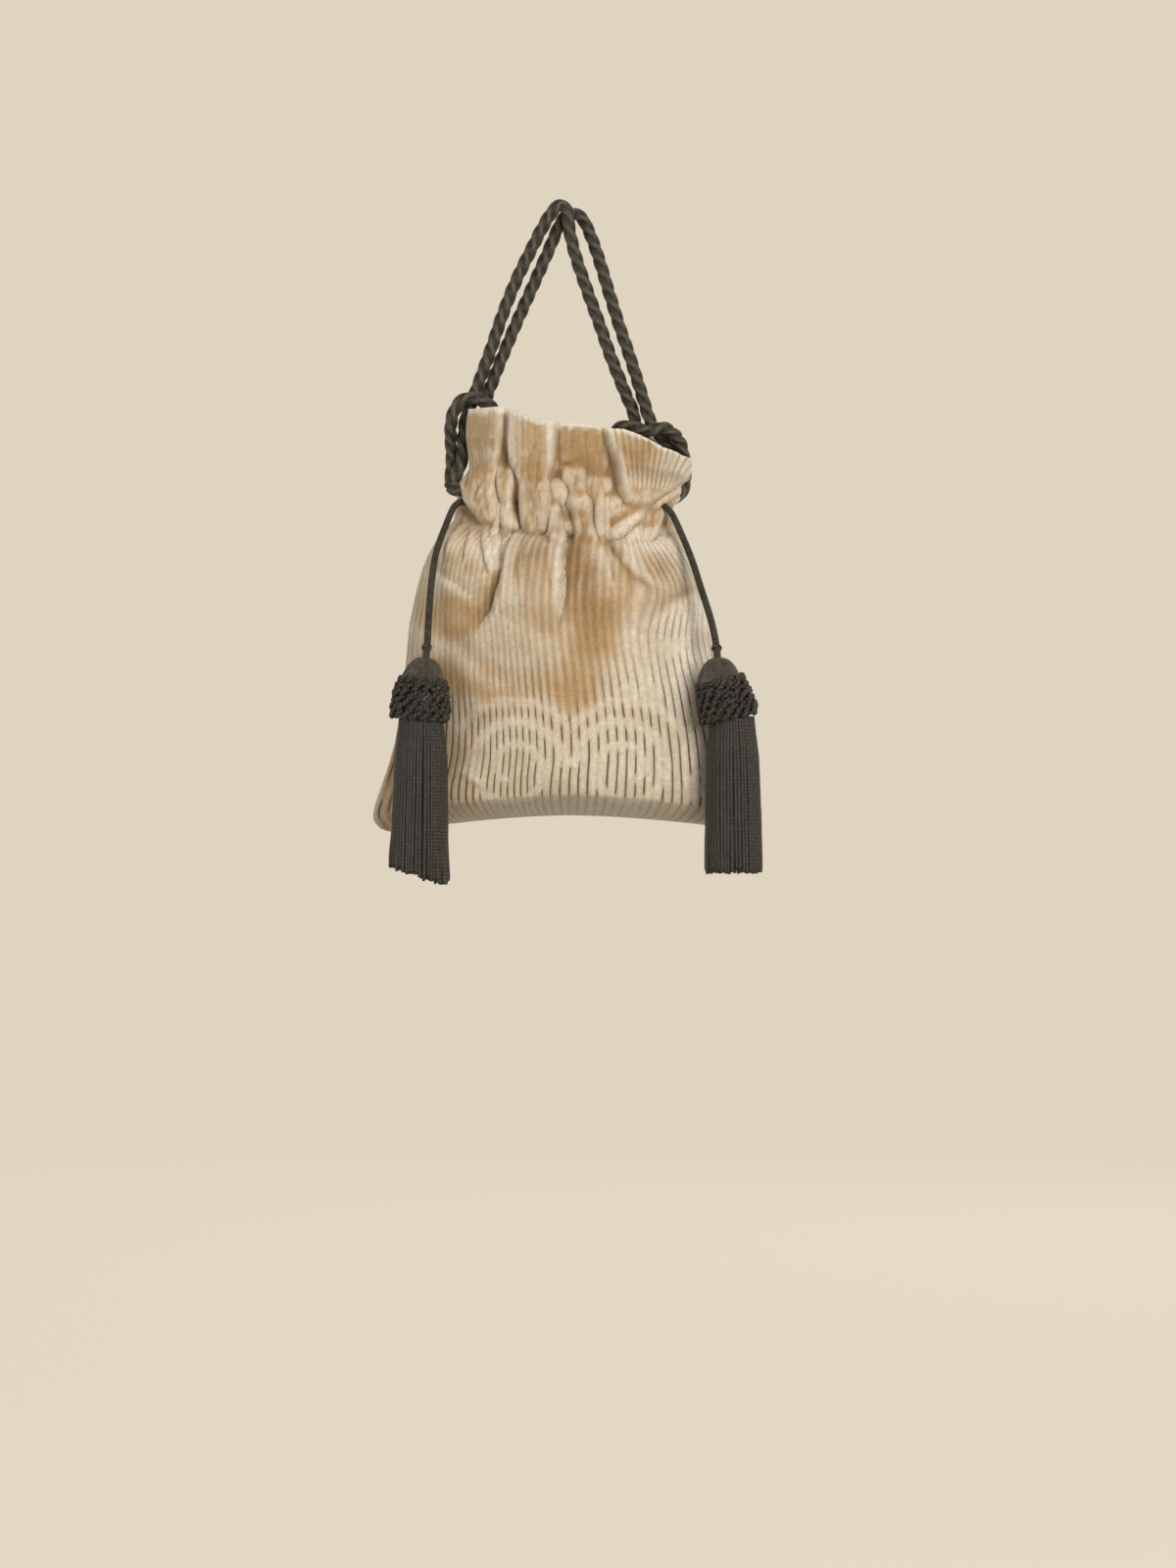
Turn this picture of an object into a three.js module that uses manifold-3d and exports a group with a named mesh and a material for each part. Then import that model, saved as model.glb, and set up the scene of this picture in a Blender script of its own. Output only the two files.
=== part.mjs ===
// Drawstring pouch of ribbed velvet with two twisted handle cords and two
// tassels, as it hangs. Millimetres, +Z up, the front faces -Y.
// The origin is under the cords' top bends, where the pouch hangs.
import * as THREE from 'three';
import { mergeVertices } from 'three/addons/utils/BufferGeometryUtils.js';
import Module from 'manifold-3d';

const wasm = await Module();
wasm.setup();

// ---------------------------------------------------------------- sizes, mm
const CORD_R = 3.0;          // twisted handle cord
const CORD_SIDES = 8;
const CORD_STEP = 13;        // longest step along a handle cord
const TUNNEL_R = 3.6;        // casing passage round a handle cord
const THIN_R = 1.65;         // doubled fine cord of a tassel
const THIN_STEP = 8;
const THIN_TUNNEL_R = 2.1;
const GAP = 0.3;             // air between neighbouring pieces
const COLUMNS = 44;          // facets across the front, and across the back
const BASE_FOLD = -2.2;      // valleys between the gathers of the casing
const PINCH = 7;             // how far the gathers run past a stitch line

const KNOT_R = 2.7, KNOT_H = 7;
const HEAD_R = 11.2, HEAD_H = 15;
const NECK_R = 8.4;
const COLLAR_IN = 12.4, COLLAR_OUT = 15.6, COLLAR_H = 21;
const SKIRT_NECK_R = 7.4, SKIRT_TOP_R = 11.4, SKIRT_R = 14.7;
const AROUND = 20;           // facets round a tassel piece

// ------------------------------------------------------------ pouch tables
// Level lines from the bottom seam to the top edge. zL, zM, zR: height at the
// left seam, the middle and the right seam; left, right: x of the seams;
// front, back: how far the middle stands out; round: 0 a lens, 1 an ellipse;
// wall: cloth thickness there (gathers and cord passage at the casing);
// follow: how far the inner face takes the folds; lift: rise of the inner face.
const SECTIONS = [
  { zL: -316.5, zM: -308.0, zR: -315.5, left: -86.0, right: 92.0, front: 0, back: 0, round: 0.00, wall: 2.0, follow: 1, lift: 2.6 },
  { zL: -315.0, zM: -304.5, zR: -314.0, left: -92.0, right: 97.0, front: 20, back: 20, round: 0.05, wall: 2.0, follow: 1, lift: 2.2 },
  { zL: -310.0, zM: -297.5, zR: -309.5, left: -96.5, right: 101.5, front: 33, back: 33, round: 0.10, wall: 2.0, follow: 1, lift: 1.4 },
  { zL: -302.0, zM: -289.0, zR: -302.0, left: -95.5, right: 101.0, front: 37.5, back: 37.5, round: 0.15, wall: 2.0, follow: 1, lift: 0.4 },
  { zL: -281.0, zM: -276.0, zR: -281.0, left: -88.5, right: 96.0, front: 39.5, back: 39.5, round: 0.25, wall: 2.0, follow: 1, lift: 0 },
  { zL: -261.0, zM: -261.0, zR: -261.0, left: -84.0, right: 90.0, front: 40, back: 40, round: 0.35, wall: 2.0, follow: 1, lift: 0 },
  { zL: -240.0, zM: -240.0, zR: -240.0, left: -81.5, right: 83.0, front: 39.5, back: 39, round: 0.45, wall: 2.0, follow: 1, lift: 0 },
  { zL: -222.0, zM: -222.0, zR: -222.0, left: -79.5, right: 77.0, front: 38.5, back: 38, round: 0.50, wall: 2.0, follow: 1, lift: 0 },
  { zL: -205.0, zM: -205.0, zR: -205.0, left: -77.0, right: 72.0, front: 36.5, back: 36, round: 0.60, wall: 2.0, follow: 1, lift: 0 },
  { zL: -187.0, zM: -189.0, zR: -188.0, left: -73.0, right: 69.0, front: 34, back: 34, round: 0.70, wall: 2.2, follow: 0.95, lift: 0 },
  { zL: -170.0, zM: -174.0, zR: -172.0, left: -66.0, right: 65.5, front: 30, back: 30, round: 0.85, wall: 4.0, follow: 0.7, lift: 0 },
  { zL: -155.0, zM: -164.5, zR: -161.0, left: -54.5, right: 58.0, front: 24.5, back: 24.5, round: 1.00, wall: 10.0, follow: 0.15, lift: 0 },
  { zL: -143.5, zM: -150.5, zR: -149.5, left: -52.5, right: 57.0, front: 26, back: 26, round: 1.00, wall: 13.4, follow: 0, lift: 0 },
  { zL: -131.5, zM: -136.0, zR: -141.0, left: -50.0, right: 57.0, front: 23.5, back: 23.5, round: 1.00, wall: 9.5, follow: 0.15, lift: 0 },
  { zL: -121.0, zM: -127.0, zR: -136.5, left: -50.5, right: 60.5, front: 25, back: 25, round: 1.00, wall: 4.0, follow: 0.7, lift: 0 },
  { zL: -111.0, zM: -117.0, zR: -131.5, left: -51.0, right: 60.5, front: 27, back: 27, round: 1.00, wall: 2.4, follow: 1, lift: 0 },
  { zL: -100.5, zM: -107.0, zR: -126.0, left: -50.0, right: 60.0, front: 28.5, back: 28.5, round: 1.00, wall: 2.4, follow: 1, lift: 0 },
];
const LAST_FOLD = 2, LOWER_STITCH = 11, CASING = 12, UPPER_STITCH = 13;
const OUTER_LEVELS = [0, 0.6, 1, 1.5, 2, 3, 4, 5, 6, 7, 8, 8.6, 9.2, 9.8, 10.4, 11, 11.4, 12, 12.6, 13, 13.6, 14.4, 15.2, 16];
const INNER_LEVELS = [0, 1, 2, 3, 4.5, 6, 7.5, 8.5, 9.5, 10.4, 11.2, 12, 12.8, 13.6, 14.4, 15.2, 16];

// Folds that run down the body from the casing. at: place across the panel
// (-1 left seam, 1 right seam); drift: sideways run while it fades; half: half
// width; out: ridge (+) or valley (-); reach: depth below the casing, where it fades.
const BODY_FOLDS_FRONT = [
  { at: -0.66, drift: -0.06, half: 0.20, out: 4.5, reach: 42 },
  { at: -0.47, drift: -0.03, half: 0.09, out: -4.0, reach: 40 },
  { at: -0.37, drift: 0.00, half: 0.08, out: 4.0, reach: 22 },
  { at: -0.28, drift: -0.16, half: 0.10, out: -5.0, reach: 62 },
  { at: -0.10, drift: -0.03, half: 0.15, out: 4.5, reach: 85 },
  { at: 0.035, drift: 0.01, half: 0.06, out: -4.5, reach: 100 },
  { at: 0.17, drift: 0.08, half: 0.15, out: 4.5, reach: 80 },
  { at: 0.31, drift: 0.30, half: 0.10, out: -7.0, reach: 42 },
  { at: 0.53, drift: 0.12, half: 0.18, out: 5.0, reach: 36 },
];
const BODY_FOLDS_BACK = [
  { at: -0.62, drift: -0.08, half: 0.16, out: 4.5, reach: 55 },
  { at: -0.42, drift: -0.06, half: 0.09, out: -4.5, reach: 60 },
  { at: -0.20, drift: -0.04, half: 0.14, out: 4.5, reach: 75 },
  { at: -0.02, drift: 0.02, half: 0.08, out: -5.0, reach: 85 },
  { at: 0.17, drift: 0.05, half: 0.14, out: 4.5, reach: 70 },
  { at: 0.38, drift: 0.08, half: 0.10, out: -5.0, reach: 55 },
  { at: 0.60, drift: 0.08, half: 0.17, out: 4.5, reach: 50 },
];
// Puffs of cloth gathered along the casing.
const PUFFS_FRONT = [
  { at: -0.90, half: 0.08, out: 3.0 },
  { at: -0.69, half: 0.15, out: 5.0 },
  { at: -0.43, half: 0.11, out: 4.5 },
  { at: -0.205, half: 0.12, out: 6.0 },
  { at: -0.052, half: 0.06, out: 3.0 },
  { at: 0.053, half: 0.08, out: 5.5 },
  { at: 0.17, half: 0.06, out: 3.5 },
  { at: 0.27, half: 0.06, out: 4.0 },
  { at: 0.385, half: 0.08, out: 4.5 },
  { at: 0.54, half: 0.10, out: 5.0 },
  { at: 0.75, half: 0.13, out: 5.0 },
  { at: 0.93, half: 0.07, out: 3.0 },
];
const BACK_PUFFS = { count: 11, half: 0.09, low: 4.0, high: 5.5 };
// Pleats of the frill above the casing. from, to: span; soft: width of its side
// folds; out: stands out (+) or back (-).
const FRILL_FRONT = [
  { from: -0.88, to: -0.44, soft: 0.08, out: 2.5 },
  { from: -0.385, to: -0.135, soft: 0.05, out: 4.5 },
  { from: -0.12, to: 0.18, soft: 0.05, out: -4.0 },
  { from: 0.19, to: 1.10, soft: 0.08, out: 6.0 },
];
const FRILL_BACK = [
  { from: -0.80, to: -0.50, soft: 0.08, out: 4.0 },
  { from: -0.46, to: -0.20, soft: 0.06, out: -3.0 },
  { from: -0.17, to: 0.14, soft: 0.06, out: 4.5 },
  { from: 0.18, to: 0.42, soft: 0.06, out: -3.0 },
  { from: 0.46, to: 0.64, soft: 0.08, out: 3.5 },
  { from: 0.93, to: 1.10, soft: 0.08, out: 6.0 },
];
// The front top edge is uneven: at: place across the panel; lift: rise (+) or dip (-).
const RIM_FRONT = [
  { at: -1.00, lift: 0.0 }, { at: -0.70, lift: 1.5 }, { at: -0.46, lift: 3.6 }, { at: -0.36, lift: 1.8 },
  { at: -0.28, lift: 0.0 }, { at: -0.20, lift: -3.0 }, { at: 0.13, lift: -3.5 }, { at: 0.22, lift: -5.0 },
  { at: 0.30, lift: -4.0 }, { at: 0.42, lift: -5.3 }, { at: 0.58, lift: -7.5 }, { at: 0.80, lift: -5.5 }, { at: 1.00, lift: 0.0 },
];
// Notches where the frill draws in behind the rising cords. at: place across
// the panel; half: half width; depth: how far in; both panels at the left seam.
const NOTCHES_FRONT = [{ at: -1.0, half: 0.26, depth: 8.5 }];
const NOTCHES_BACK = [{ at: -1.0, half: 0.26, depth: 8.5 }, { at: 0.80, half: 0.20, depth: 11 }];

// ------------------------------------------------------------- cord routes
// Each handle cord is a loop: through its half of the casing, out at the right,
// over the top, back in at the left. The first rows lie in the casing passage.
const CASING_ROWS = 12;
const CORD_FRONT = [
  { x: -56.5, y: -3.0, z: -139.5 }, { x: -50.5, y: -4.9, z: -143.2 }, { x: -42.8, y: -6.4, z: -145.0 },
  { x: -35.8, y: -9.8, z: -146.8 }, { x: -23.0, y: -14.8, z: -149.0 }, { x: 2.2, y: -18.0, z: -150.5 },
  { x: 27.5, y: -14.8, z: -150.0 }, { x: 40.3, y: -9.8, z: -149.0 }, { x: 47.2, y: -6.4, z: -148.2 },
  { x: 54.0, y: -3.4, z: -147.0 }, { x: 59.6, y: 1.6, z: -144.6 },
  { x: 62.2, y: 5.6, z: -139.5 }, { x: 62.8, y: 7.2, z: -132.0 }, { x: 62.0, y: 6.2, z: -124.2 },
  { x: 60.2, y: 2.8, z: -117.6 }, { x: 56.8, y: -2.4, z: -113.6 }, { x: 51.0, y: -7.0, z: -110.8 }, { x: 43.5, y: -8.6, z: -112.8 },
  { x: 35.5, y: -7.4, z: -110.6 }, { x: 29.8, y: -4.2, z: -110.4 }, { x: 27.4, y: 1.2, z: -112.4 },
  { x: 30.2, y: 5.6, z: -114.2 }, { x: 35.2, y: 5.6, z: -111.8 }, { x: 36.8, y: 3.4, z: -105.0 },
  { x: 31.2, y: 0.6, z: -90.5 }, { x: 24.6, y: -0.6, z: -74.0 }, { x: 19.0, y: -1.4, z: -58.0 },
  { x: 12.6, y: -2.2, z: -40.5 }, { x: 6.4, y: -3.0, z: -22.0 }, { x: 3.4, y: -3.3, z: -9.0 },
  { x: 2.6, y: -3.3, z: -0.8 }, { x: -0.6, y: -3.3, z: 3.0 }, { x: -4.6, y: -3.3, z: 0.2 },
  { x: -9.6, y: -3.0, z: -7.5 }, { x: -15.6, y: -2.4, z: -19.0 }, { x: -23.0, y: -1.6, z: -34.0 },
  { x: -30.6, y: -0.8, z: -52.5 }, { x: -36.2, y: -0.2, z: -68.5 }, { x: -42.2, y: 0.4, z: -85.0 },
  { x: -46.2, y: 1.0, z: -96.0 }, { x: -49.4, y: 1.6, z: -105.0 }, { x: -50.6, y: 1.7, z: -115.0 },
  { x: -51.2, y: 0.2, z: -126.0 }, { x: -53.8, y: -2.0, z: -134.0 },
];
const CORD_BACK = [
  { x: -57.0, y: 4.4, z: -140.0 }, { x: -50.5, y: 4.9, z: -143.2 }, { x: -42.8, y: 6.4, z: -145.0 },
  { x: -35.8, y: 9.8, z: -146.8 }, { x: -23.0, y: 14.8, z: -149.0 }, { x: 2.2, y: 18.0, z: -150.5 },
  { x: 27.5, y: 14.8, z: -150.0 }, { x: 40.3, y: 9.8, z: -149.0 }, { x: 47.2, y: 6.4, z: -148.2 },
  { x: 53.6, y: 8.2, z: -147.0 }, { x: 57.6, y: 11.8, z: -144.0 },
  { x: 58.6, y: 13.0, z: -138.0 }, { x: 58.2, y: 13.0, z: -130.5 }, { x: 56.8, y: 11.2, z: -123.6 },
  { x: 54.2, y: 7.4, z: -118.0 }, { x: 50.6, y: 3.0, z: -114.8 }, { x: 47.2, y: 0.4, z: -111.6 },
  { x: 44.6, y: -0.5, z: -106.5 }, { x: 39.6, y: 0.6, z: -90.5 }, { x: 34.4, y: 1.2, z: -74.0 },
  { x: 29.0, y: 1.8, z: -58.0 }, { x: 23.6, y: 2.4, z: -40.5 }, { x: 18.0, y: 3.0, z: -22.0 },
  { x: 13.4, y: 3.3, z: -9.5 }, { x: 9.6, y: 3.3, z: -2.6 }, { x: 4.6, y: 3.3, z: -0.6 },
  { x: 0.2, y: 3.4, z: -3.4 }, { x: -3.0, y: 3.4, z: -9.5 }, { x: -7.0, y: 3.4, z: -19.0 },
  { x: -13.6, y: 3.4, z: -34.0 }, { x: -21.8, y: 3.6, z: -52.5 }, { x: -28.4, y: 3.8, z: -68.5 },
  { x: -35.0, y: 4.4, z: -85.0 }, { x: -38.6, y: 5.6, z: -95.5 }, { x: -37.4, y: 5.8, z: -102.2 },
  { x: -33.6, y: 1.0, z: -104.4 }, { x: -35.0, y: -4.6, z: -101.0 }, { x: -40.6, y: -6.6, z: -97.2 },
  { x: -46.6, y: -6.6, z: -95.6 }, { x: -51.8, y: -5.7, z: -97.6 }, { x: -55.6, y: -4.4, z: -103.4 },
  { x: -56.7, y: -3.4, z: -109.5 }, { x: -57.4, y: 1.0, z: -119.0 }, { x: -57.0, y: 4.4, z: -126.5 },
  { x: -57.2, y: 5.0, z: -133.0 },
];
// Tassel cords: from inside the casing opening down to the knot.
const THIN_TUNNEL_ROWS = 4;
const THIN_LEFT = [
  { x: -45.4, y: -4.6, z: -150.6 }, { x: -47.2, y: -5.2, z: -150.2 }, { x: -52.2, y: -7.0, z: -148.8 },
  { x: -55.8, y: -8.6, z: -150.4 }, { x: -60.2, y: -12.6, z: -161.0 }, { x: -63.8, y: -17.2, z: -175.0 },
  { x: -65.8, y: -22.2, z: -188.5 }, { x: -66.9, y: -26.8, z: -203.0 }, { x: -67.7, y: -31.4, z: -220.9 },
];
const THIN_RIGHT = [
  { x: 45.4, y: -6.2, z: -154.6 }, { x: 47.0, y: -7.4, z: -154.2 }, { x: 51.6, y: -11.8, z: -152.0 },
  { x: 55.4, y: -14.5, z: -154.2 }, { x: 60.8, y: -16.7, z: -166.0 }, { x: 65.6, y: -18.5, z: -179.0 },
  { x: 70.6, y: -21.0, z: -195.0 }, { x: 74.8, y: -24.8, z: -209.0 }, { x: 77.2, y: -29.2, z: -220.9 },
];
// Where each tassel hangs. x, y, z: top of its head; lean: of the head, degrees;
// tilt: of the collar on the head; collar, skirt: how far they lie to the side of
// the head's top; hang: lean of the skirt; long: its length below the collar; hem:
// how much higher its left side ends.
const TASSELS = [
  { side: 'left', route: THIN_LEFT, x: -68.2, y: -34.8, z: -228.2, lean: 7.5, tilt: 2.8, collar: 0.2, skirt: -2.0, hang: 0.7, long: 80, hem: 8 },
  { side: 'right', route: THIN_RIGHT, x: 77.9, y: -33.0, z: -228.2, lean: -4.6, tilt: 8.4, collar: 2.1, skirt: 6.9, hang: -0.7, long: 74.7, hem: 0 },
];

// -------------------------------------------------------------- materials
const VELVET = new THREE.MeshStandardMaterial({ name: 'velvet', color: 0xd2bd9c, roughness: 0.9, metalness: 0 });
const CORD = new THREE.MeshStandardMaterial({ name: 'cord', color: 0x3a3630, roughness: 0.7, metalness: 0 });
const TASSEL = new THREE.MeshStandardMaterial({ name: 'tassel', color: 0x3e3934, roughness: 0.75, metalness: 0 });

// ------------------------------------------------------------ pouch shape
const bump = (d) => (Math.abs(d) < 1 ? 0.5 + 0.5 * Math.cos(Math.PI * d) : 0);
const ease = (t) => { const c = Math.min(1, Math.max(0, t)); return c * c * (3 - 2 * c); };
const plate = (w, p) => ease((w - p.from) / p.soft + 0.5) * ease((p.to - w) / p.soft + 0.5);

function level(r) {
  const i = Math.min(SECTIONS.length - 2, Math.floor(r)), t = r - i;
  const row = (k) => SECTIONS[Math.min(SECTIONS.length - 1, Math.max(0, k))];
  const [a, b, c, d] = [row(i - 1), row(i), row(i + 1), row(i + 2)];
  const out = {};
  for (const key of Object.keys(b)) {
    const m0 = (c[key] - a[key]) / 2, m1 = (d[key] - b[key]) / 2;
    out[key] = b[key] * (2 * t ** 3 - 3 * t * t + 1) + m0 * (t ** 3 - 2 * t * t + t)
      + c[key] * (3 * t * t - 2 * t ** 3) + m1 * (t ** 3 - t * t);
  }
  return out;
}
const heightAt = (s, w) => s.zM + ((w < 0 ? s.zL : s.zR) - s.zM) * Math.abs(w) ** 1.7;

function ground(s, w, front, inset, insetEnds) {
  const mid = (s.left + s.right) / 2, half = (s.right - s.left) / 2 - insetEnds;
  const deep = Math.max(0, (front ? s.front : s.back) - inset), k = s.round, q = w * Math.PI / 2;
  return [mid + half * ((1 - k) * w + k * Math.sin(q)),
    (front ? -1 : 1) * deep * ((1 - k) * (1 - w * w) + k * Math.cos(q))];
}

function rimLift(w) {
  const i = Math.max(1, RIM_FRONT.findIndex((row) => w <= row.at)), a = RIM_FRONT[i - 1], b = RIM_FRONT[i];
  return a.lift + (b.lift - a.lift) * ease((w - a.at) / (b.at - a.at));
}

const STITCH_LOW = level(LOWER_STITCH), STITCH_HIGH = level(UPPER_STITCH);
function folds(r, s, w, front) {
  const below = Math.max(0, heightAt(STITCH_LOW, w) - heightAt(s, w));
  const above = Math.max(0, heightAt(s, w) - heightAt(STITCH_HIGH, w));
  let sum = 0;
  if (r < LOWER_STITCH) {
    for (const f of front ? BODY_FOLDS_FRONT : BODY_FOLDS_BACK) {
      const at = f.at + f.drift * Math.min(1, below / f.reach);
      const half = f.half * (1 + 0.5 * below / f.reach);
      sum += f.out * bump((w - at) / half) * Math.exp(-((below / f.reach) ** 2)) * (0.25 + 0.75 * ease(below / 12));
    }
    sum *= ease(below / 5) * ease((r - LAST_FOLD) / 2);
  }
  let puffs = BASE_FOLD;
  if (front) for (const p of PUFFS_FRONT) puffs += (p.out - BASE_FOLD) * bump((w - p.at) / p.half);
  else for (let i = 0; i < BACK_PUFFS.count; i++) {
    const at = -1 + 2 * (i + 0.5) / BACK_PUFFS.count;
    puffs += ((i % 2 ? BACK_PUFFS.low : BACK_PUFFS.high) - BASE_FOLD) * bump((w - at) / BACK_PUFFS.half);
  }
  let puffed = 0.5;
  if (r >= LOWER_STITCH && r <= UPPER_STITCH) puffed += 0.5 * Math.sin(Math.PI * (r - LOWER_STITCH) / 2) ** 0.8;
  else puffed *= r <= LAST_FOLD ? 0 : Math.exp(-(((below + above) / PINCH) ** 2));
  sum += puffs * puffed;
  if (r > UPPER_STITCH) {
    const free = 0.25 + 0.75 * ease((r - UPPER_STITCH) / 2);
    for (const p of front ? FRILL_FRONT : FRILL_BACK) sum += p.out * plate(w, p) * free * ease((r - UPPER_STITCH) / 0.6);
  }
  if (r > CASING + 0.4) {
    for (const n of front ? NOTCHES_FRONT : NOTCHES_BACK) sum -= n.depth * bump((w - n.at) / n.half) * ease((r - CASING - 0.4) / 0.8);
  }
  return sum;
}

function pouchPoint(r, w, front, inner) {
  const s = level(r);
  const inset = inner ? s.wall : 0, ends = inner ? s.wall * (1 + 1.2 * (1 - s.round)) : 0;
  const [x, y] = ground(s, w, front, inset, ends);
  let nx = Math.sign(w), ny = 0;
  if (Math.abs(w) < 0.999) {
    const e = 1e-3, [x0, y0] = ground(s, w - e, front, inset, ends), [x1, y1] = ground(s, w + e, front, inset, ends);
    const l = Math.hypot(x1 - x0, y1 - y0);
    nx = (front ? 1 : -1) * (y1 - y0) / l;
    ny = (front ? -1 : 1) * (x1 - x0) / l;
  }
  const d = folds(r, s, w, front) * (inner ? s.follow : 1);
  const edge = front && r > UPPER_STITCH ? rimLift(w) * ease((r - UPPER_STITCH) / 3) : 0;
  return [x + nx * d, y + ny * d, heightAt(s, w) + (inner ? s.lift : 0) + edge];
}

function ring(r, inner) {
  const out = [];
  for (let j = 0; j <= COLUMNS; j++) out.push(pouchPoint(r, -1 + 2 * j / COLUMNS, true, inner));
  for (let j = 1; j < COLUMNS; j++) out.push(pouchPoint(r, 1 - 2 * j / COLUMNS, false, inner));
  return out;
}

function geometry(points, faces) {
  const g = new THREE.BufferGeometry();
  g.setAttribute('position', new THREE.Float32BufferAttribute(points.flat(), 3));
  g.setIndex(faces.flat());
  return mergeVertices(g, 1e-3);
}

function pouchShell() {
  const rings = [...OUTER_LEVELS.map((r) => ring(r, false)), ...INNER_LEVELS.map((r) => ring(r, true)).reverse()];
  const n = rings[0].length, faces = [];
  for (let i = 0; i + 1 < rings.length; i++) {
    for (let j = 0; j < n; j++) {
      const a = i * n + j, b = i * n + (j + 1) % n, c = b + n, d = a + n;
      faces.push([a, b, c], [a, c, d]);
    }
  }
  return geometry(rings.flat(), faces);
}

// ------------------------------------------------------------------ cords
function samples(rows, closed, step, until, from = 0) {
  const curve = new THREE.CatmullRomCurve3(rows.map((p) => new THREE.Vector3(p.x, p.y, p.z)), closed, 'centripetal');
  const spans = closed ? rows.length : rows.length - 1, last = until ?? spans, out = [];
  for (let i = from; i < last; i++) {
    const a = rows[i], b = rows[(i + 1) % rows.length];
    const n = Math.max(1, Math.ceil(Math.hypot(b.x - a.x, b.y - a.y, b.z - a.z) / step));
    for (let k = 0; k < n; k++) out.push(curve.getPoint((i + k / n) / spans));
  }
  if (!closed || until) out.push(curve.getPoint(last / spans));
  return out;
}

function tube(path, radius, sides, closed) {
  const n = path.length, up = new THREE.Vector3(), points = [], faces = [];
  const way = path.map((p, i) => {
    const q = closed ? path[(i + 1) % n] : path[Math.min(n - 1, i + 1)];
    const o = closed ? path[(i + n - 1) % n] : path[Math.max(0, i - 1)];
    return q.clone().sub(o).normalize();
  });
  up.set(0.21, 0.93, 0.3).cross(way[0]).normalize();
  path.forEach((p, i) => {
    up.addScaledVector(way[i], -up.dot(way[i])).normalize();
    const side = way[i].clone().cross(up);
    for (let k = 0; k < sides; k++) {
      const q = 2 * Math.PI * k / sides;
      points.push(p.clone().addScaledVector(up, radius * Math.cos(q)).addScaledVector(side, radius * Math.sin(q)).toArray());
    }
  });
  const quad = (i, j, shift) => {
    for (let k = 0; k < sides; k++) {
      const a = i * sides + k, b = i * sides + (k + 1) % sides;
      const c = j * sides + (k + 1 + shift) % sides, d = j * sides + (k + shift) % sides;
      faces.push([a, b, c], [a, c, d]);
    }
  };
  for (let i = 0; i + 1 < n; i++) quad(i, i + 1, 0);
  if (closed) {
    let best = 0, least = Infinity;
    for (let s = 0; s < sides; s++) {
      let sum = 0;
      for (let k = 0; k < sides; k++) {
        const a = points[(n - 1) * sides + k], b = points[(k + s) % sides];
        sum += (a[0] - b[0]) ** 2 + (a[1] - b[1]) ** 2 + (a[2] - b[2]) ** 2;
      }
      if (sum < least) { least = sum; best = s; }
    }
    quad(n - 1, 0, best);
  } else {
    for (let k = 1; k + 1 < sides; k++) {
      faces.push([0, k + 1, k]);
      faces.push([(n - 1) * sides, (n - 1) * sides + k, (n - 1) * sides + k + 1]);
    }
  }
  return geometry(points, faces);
}

// --------------------------------------------------------------- solids
function solid(g) {
  return new wasm.Manifold(new wasm.Mesh({
    numProp: 3, vertProperties: new Float32Array(g.attributes.position.array), triVerts: new Uint32Array(g.index.array),
  }));
}
function backToGeometry(m) {
  const mesh = m.getMesh(), g = new THREE.BufferGeometry(), pos = [];
  for (let i = 0; i < mesh.vertProperties.length; i += mesh.numProp) pos.push(...mesh.vertProperties.slice(i, i + 3));
  g.setAttribute('position', new THREE.Float32BufferAttribute(pos, 3));
  g.setIndex(Array.from(mesh.triVerts));
  return g;
}

const group = new THREE.Group();
group.name = 'drawstring_pouch';
function add(name, g, material) {
  g.computeVertexNormals();
  const mesh = new THREE.Mesh(g, material);
  mesh.name = name;
  group.add(mesh);
  return mesh;
}

// pouch: a cloth shell with a passage round each cord
let pouch = solid(pouchShell());
for (const rows of [CORD_FRONT, CORD_BACK]) {
  pouch = pouch.subtract(solid(tube(samples(rows, true, CORD_STEP, CASING_ROWS - 1), TUNNEL_R, CORD_SIDES, false)));
}
for (const rows of [THIN_LEFT, THIN_RIGHT]) {
  pouch = pouch.subtract(solid(tube(samples(rows, false, THIN_STEP, THIN_TUNNEL_ROWS - 1), THIN_TUNNEL_R, CORD_SIDES, false)));
}
add('pouch', backToGeometry(pouch), VELVET);

add('drawcord_front', tube(samples(CORD_FRONT, true, CORD_STEP), CORD_R, CORD_SIDES, true), CORD);
add('drawcord_back', tube(samples(CORD_BACK, true, CORD_STEP), CORD_R, CORD_SIDES, true), CORD);

// tassels: cord, knot, head, collar and skirt, each about its own axis
function lathe(profile) {
  const g = new THREE.LatheGeometry(profile.map(([r, z]) => new THREE.Vector2(r, z)), AROUND);
  g.deleteAttribute('normal');
  g.deleteAttribute('uv');
  return mergeVertices(g.rotateX(Math.PI / 2), 1e-3);
}
const HEAD_PROFILE = [[0, -HEAD_H], [NECK_R, -HEAD_H], [NECK_R + 0.5, -12.8], [HEAD_R, -11.2], [10.5, -9.6], [9.4, -7], [7.4, -3.4], [5.0, -1.3], [0, 0]];
const COLLAR_TOP = -11.5;
const COLLAR_PROFILE = [[COLLAR_IN, -COLLAR_H], [COLLAR_OUT - 1.2, -COLLAR_H], [COLLAR_OUT, -COLLAR_H + 3.5], [COLLAR_OUT, -12],
  [COLLAR_OUT - 1.4, -5], [COLLAR_OUT - 3, 0], [COLLAR_IN, 0], [COLLAR_IN, -COLLAR_H]];
const SKIRT_TOP = -HEAD_H - GAP;
const skirtProfile = (long) => [[0, -long - 18], [SKIRT_R - 0.6, -long - 18], [SKIRT_R, -long - 14], [SKIRT_R - 0.6, -60],
  [SKIRT_TOP_R, -26], [SKIRT_TOP_R - 0.8, -16], [SKIRT_NECK_R, -12.5], [SKIRT_NECK_R, -1.4], [0, -1.4]];
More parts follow.
